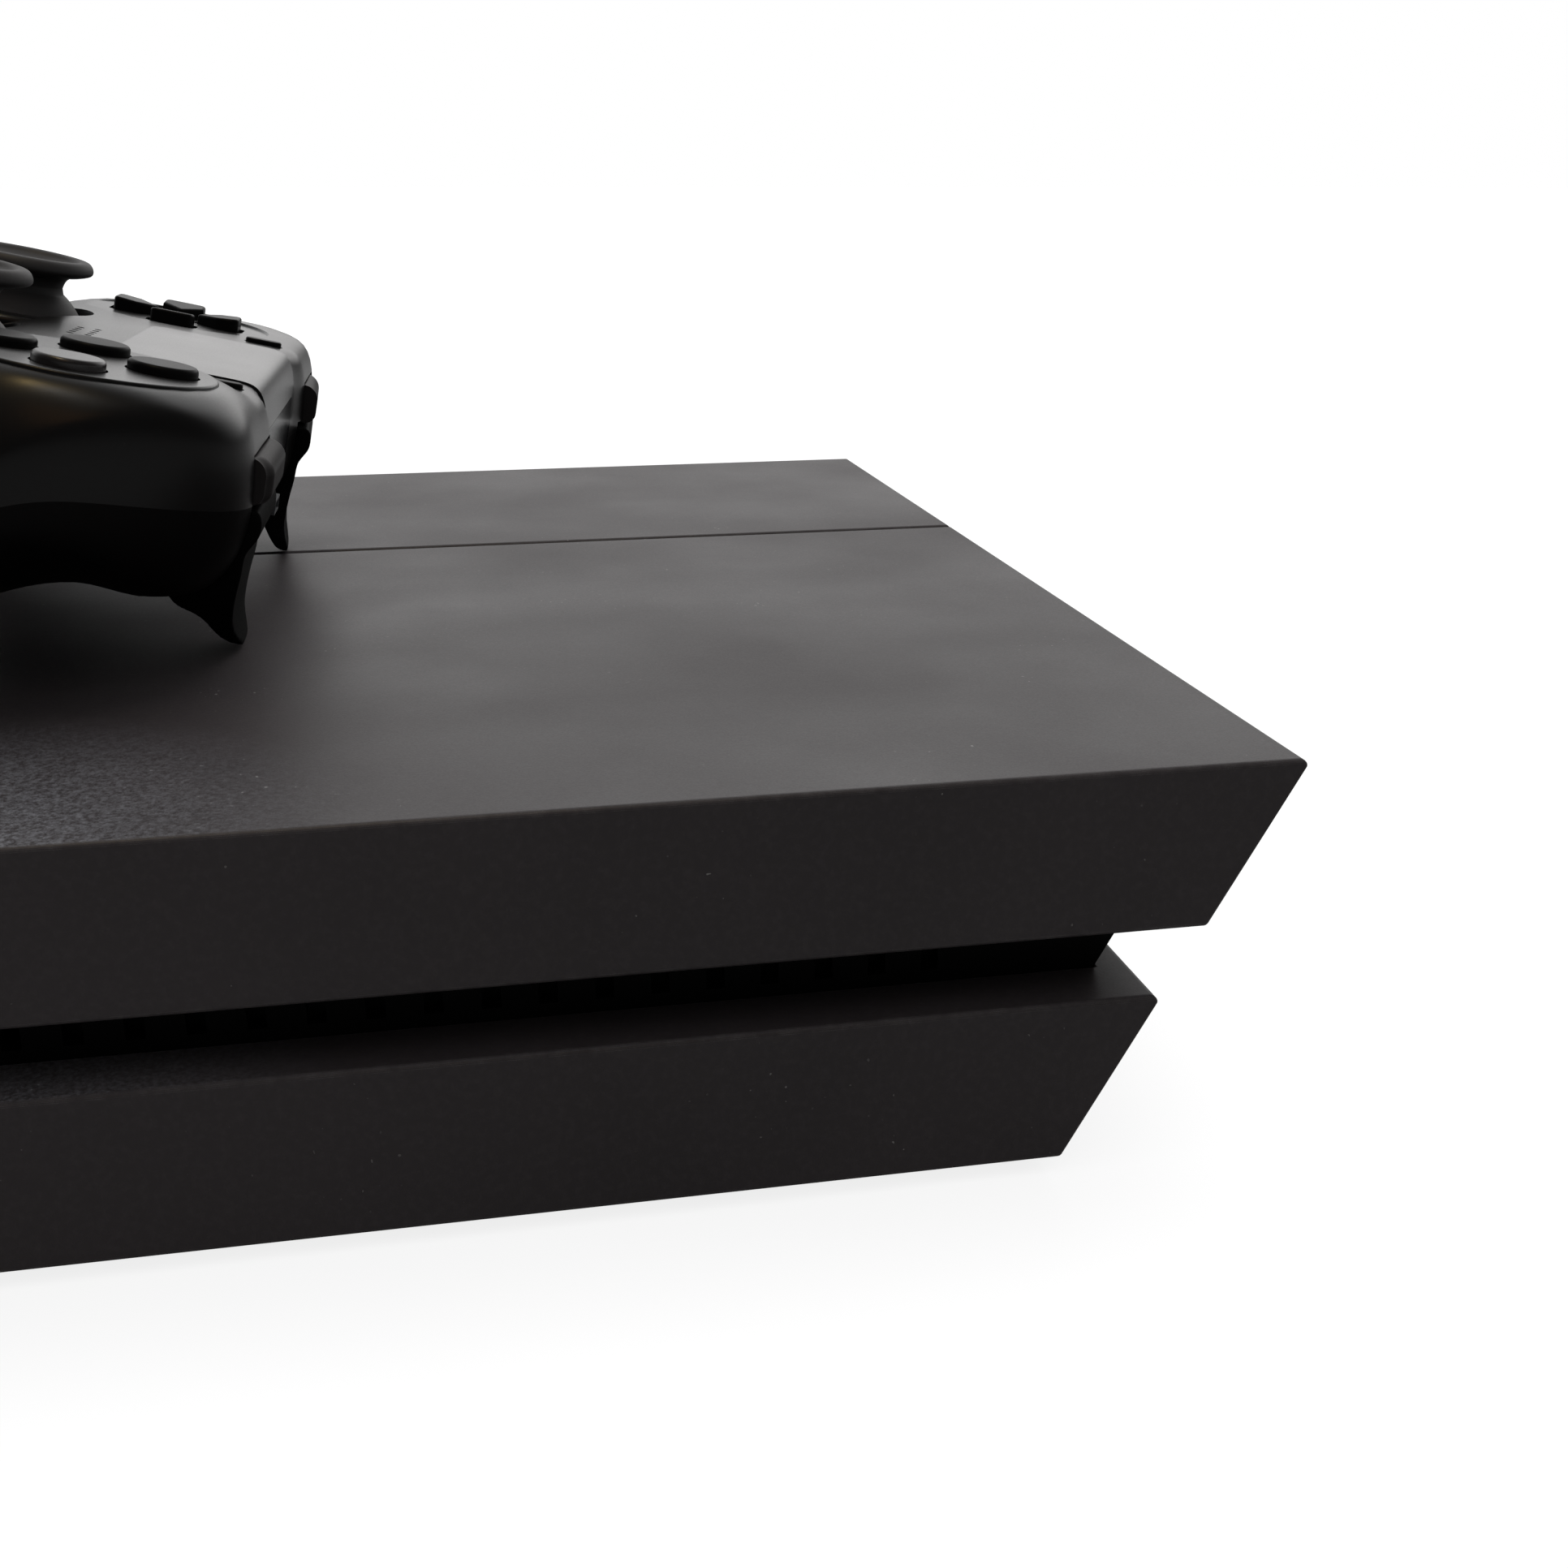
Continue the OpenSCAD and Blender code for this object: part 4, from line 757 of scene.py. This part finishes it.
def make_buttons(place):
    r, low, high = BUTTON_R, -5.2, 3.9
    crown = ([(0, low), (r + 1.1, low), (r + 1.1, low + 1), (r, low + 1)]
             + arc(r - 0.7, high - 0.75, 0.7, 0, 80, 8) + [(r * 0.5, high - 0.02), (0, high)])
    for name, k in (("east", 0), ("north", 1), ("west", 2), ("south", 3)):
        finish_piece(mesh_object(lathe(crown, (*button_place(k), 0), 72)), "button_" + name, "button_" + name,
                     "control_plastic", ["pad_button_" + name], place=place)


def make_cross(place):
    """Direction pad: a plate with four arms that dip towards the middle."""
    low, high = ARM_LOW, ARM_LOW + 1.2
    cross = mesh_object(box(-CLUSTER - ARM_HALF, -CLUSTER + ARM_HALF, -ARM_REACH, ARM_REACH, low, high))
    combine(cross, "UNION", [box(-CLUSTER - ARM_REACH, -CLUSTER + ARM_REACH, -ARM_HALF, ARM_HALF, low, high)])
    for k in range(4):
        key = bevel(mesh_object(prism(turned(arm(0), (-CLUSTER, 0), 90 * k), low, ARM_TOP)), 0.5, 4, 60)
        for vert in key.data.vertices:
            if vert.co.z > 0:
                vert.co.z -= 0.09 * (ARM_REACH - math.hypot(vert.co.x + CLUSTER, vert.co.y))
        combine(cross, "UNION", [key])
    finish_piece(cross, "dpad_cross", "dpad", "control_plastic", ["pad_dpad"], place=place)


def make_keys(place):
    for side, word in ((-1, "share"), (1, "options")):
        outline = pill(side * KEY_U, KEY_V, KEY_W, KEY_L)
        key = bevel(mesh_object(prism(outline, -3.2, 0.8)), 0.35, 3, 60)
        finish_piece(key, word + "_key", word + "_button",
                     "control_plastic", ["pad_%s_button" % word], place=place)
    home = [(0, -7), (HOME_R, -7)] + arc(HOME_R - 0.5, -2.9, 0.5, 0, 90, 6) + [(4.4, -2.6), (0, -2.75)]
    finish_piece(mesh_object(lathe(home, (0, HOME_V, 0), 72)), "home_key", "home_button", "control_plastic",
                 ["pad_home_button"], place=place)


CAP_R, CAP_TOPS = 11.8, (15.6, 17.4)  # tops above the joint, left and right
BALL_OUT, BALL_IN = 11.8, 10.6


def make_sticks(place):
    for (u, v), word, top in zip(STICKS, ("left", "right"), CAP_TOPS):
        r = CAP_R
        shape = [(0, top - 1.6), (r - 5.5, top - 1.55), (r - 3.4, top - 0.9), (r - 2.4, top - 0.15),
                 (r - 1.3, top), (r - 0.5, top - 0.35), (r, top - 1.3), (r - 0.3, top - 2.2),
                 (r - 2.0, top - 2.85), (r - 3.6, top - 3.2), (7.4, top - 4.0), (7.0, top - 5.2)]
        head = smooth_line(shape, 4, sharp=(0, 11))[:11 * 4] + [(7.0, 10.4)]
        skirt = arc(0, 0, BALL_OUT, 52, 16, 20) + arc(0, 0, BALL_IN, 16, 75, 20)
        socket = [(2.7, 4.2), (1.75, 4.2), (1.75, 9.9), (0, 9.9)]  # takes the cradle's post
        profile = [(max(0, x), y) for x, y in head + skirt + socket]
        finish_piece(mesh_object(lathe(profile, (u, v, -STICK_DEEP), 128)), "cap_" + word, word + "_cap",
                     "stick_rubber", ["pad_%s_stick_cap" % word], 45, place=place)


# ---------- console covers ----------
EDGE_ROUNDING = 0.15
LONG_EDGE, WIDE_FACE = 12.0, 100.0  # least length of a rounded edge, least area of its two faces


def softened(node, name, body):
    """Copy of a CAD node with its long outward edges rounded."""
    obj = bpy.data.objects.new(name, frame["nodes"][node].data.copy())
    scene.collection.objects.link(obj)
    bm = bmesh.new()
    bm.from_mesh(obj.data)
    bmesh.ops.remove_doubles(bm, verts=bm.verts, dist=0.001 * MM)
    bmesh.ops.dissolve_limit(bm, angle_limit=math.radians(0.5), verts=bm.verts, edges=bm.edges)
    long = [e for e in bm.edges if len(e.link_faces) == 2 and e.calc_length() > LONG_EDGE * MM
            and e.is_convex and e.calc_face_angle() > math.radians(20)
            and min(f.calc_area() for f in e.link_faces) > WIDE_FACE * MM * MM]
    bmesh.ops.bevel(bm, geom=long, offset=EDGE_ROUNDING * MM, segments=2, profile=0.5, affect="EDGES",
                    clamp_overlap=False)
    bm.to_mesh(obj.data)
    bm.free()
    return finish_piece(obj, name, body, "cover_plastic", [node], 3)


def make_covers():
    softened("top_cover", "lid", "console")
    softened("hdd_cover", "drive_lid", "hdd_cover")
    softened("bottom_cover", "base", "console")


# ---------- floor, background and lamps ----------
def shown_rays(t, straight, mirrored, lighting=0.0):
    """Strength for camera rays, for glossy and transmission rays, and for the rays that light things."""
    path = t.add("ShaderNodeLightPath")
    camera = path.outputs["Is Camera Ray"]
    seen = t.math("MAXIMUM", path.outputs["Is Glossy Ray"], path.outputs["Is Transmission Ray"])
    rest = t.math("SUBTRACT", 1.0, t.math("MAXIMUM", camera, seen))
    level = t.math("ADD", t.math("MULTIPLY", camera, straight), t.math("MULTIPLY", seen, mirrored))
    return t.math("ADD", level, t.math("MULTIPLY", rest, lighting))


def make_stage():
    mesh = bpy.data.meshes.new("floor")
    bm = bmesh.new()
    bmesh.ops.create_circle(bm, cap_ends=True, segments=96, radius=8.0)
    bm.to_mesh(mesh)
    bm.free()
    floor = bpy.data.objects.new("floor", mesh)
    floor.location.z = -0.0002
    scene.collection.objects.link(floor)
    mat = bpy.data.materials.new("floor")
    mat.use_nodes = True
    t = Tree(mat.node_tree)
    out = t.add("ShaderNodeOutputMaterial")
    where = t.add("ShaderNodeTexCoord").outputs["Object"]
    tone = t.mix(t.noise(where, 6.0, 3.0), (0.20, 0.20, 0.20, 1), (0.22, 0.22, 0.22, 1))
    flat = t.add("ShaderNodeBsdfDiffuse", Color=tone)
    away = t.add("ShaderNodeSeparateXYZ", Vector=t.add("ShaderNodeNewGeometry").outputs["Position"])
    squares = [t.math("POWER", away.outputs[axis], 2.0) for axis in "XY"]
    far = t.math("SQRT", t.math("ADD", *squares))
    # pale to the camera and a little paler further away, dim in reflections, and no lamp
    glow = t.add("ShaderNodeEmission", Color=(1, 1, 1, 1),
                 Strength=shown_rays(t, t.ramp(far, 0.5, 3.0, 0.83, 1.0), 0.12))
    both = t.add("ShaderNodeAddShader")
    t.feed(both, "_0", flat.outputs[0])
    t.feed(both, "_1", glow.outputs[0])
    t.feed(out, "Surface", both.outputs[0])
    mesh.materials.append(mat)


def make_world():
    world = bpy.data.worlds.new("studio")
    scene.world = world
    world.use_nodes = True
    t = Tree(world.node_tree)
    out = t.add("ShaderNodeOutputWorld")
    where = t.add("ShaderNodeTexCoord").outputs["Generated"]
    parts = t.add("ShaderNodeSeparateXYZ", Vector=where)
    # in reflections the room is white on the far side of the console and dim on the near side
    side = t.math("MULTIPLY", t.ramp(parts.outputs["X"], 0.2, 0.75, 0.04, 1.0),
                  t.ramp(parts.outputs["Z"], 0.05, 0.13, 0.08, 1.0))
    above = t.ramp(parts.outputs["Z"], -0.1, 1.0, 0.2, 0.9)
    glow = t.add("ShaderNodeBackground", Color=(1, 1, 1, 1), Strength=shown_rays(t, 1.0, side, above))
    t.feed(out, "Surface", glow.outputs[0])


def lamp(name, place, aim, size, power, colour=(1, 1, 1), mirrored=False):
    """Soft lamp that lights things, or one that is only seen mirrored in them."""
    data = bpy.data.lights.new(name, "AREA")
    data.shape = "RECTANGLE"
    data.size, data.size_y = size
    data.energy = power
    data.color = colour
    obj = bpy.data.objects.new(name, data)
    obj.location = place
    obj.rotation_mode = "QUATERNION"
    obj.rotation_quaternion = (Vector(aim) - Vector(place)).to_track_quat("-Z", "Y")
    obj.visible_camera = False
    obj.visible_glossy, obj.visible_diffuse = mirrored, not mirrored
    scene.collection.objects.link(obj)


def make_lamps():
    lamp("key", (0.7, -0.5, 1.5), (0, 0, 0.05), (1.2, 1.2), 18.0)
    lamp("fill", (-1.0, -0.7, 1.4), (0, 0, 0.05), (1.0, 1.0), 3.0, (0.97, 0.98, 1.0))
    lamp("golden", (-0.09, 0.075, 1.05), (-0.07, 0, 0.09), (0.09, 0.09), 1.0, (1.0, 0.72, 0.30), True)
    lamp("brown", (-0.80, 0.0, 1.06), (-0.07, 0, 0.09), (0.35, 0.40), 0.3, (1.0, 0.50, 0.18), True)
    lamp("window", (-0.20, -0.02, 1.05), (-0.06, 0, 0.09), (0.08, 0.08), 0.35, (0.82, 0.9, 1.0), True)
    lamp("far_wall", (3.0, -0.9, 0.9), (0, 0, 0.09), (2.4, 1.0), 2.4, (1.0, 0.96, 0.94), True)


make_camera()
make_world()
make_stage()
make_lamps()
dress_cad()
make_covers()
placing = pad_place()
make_shells(placing)
make_touch(placing)
make_controls(placing)
make_sticks(placing)
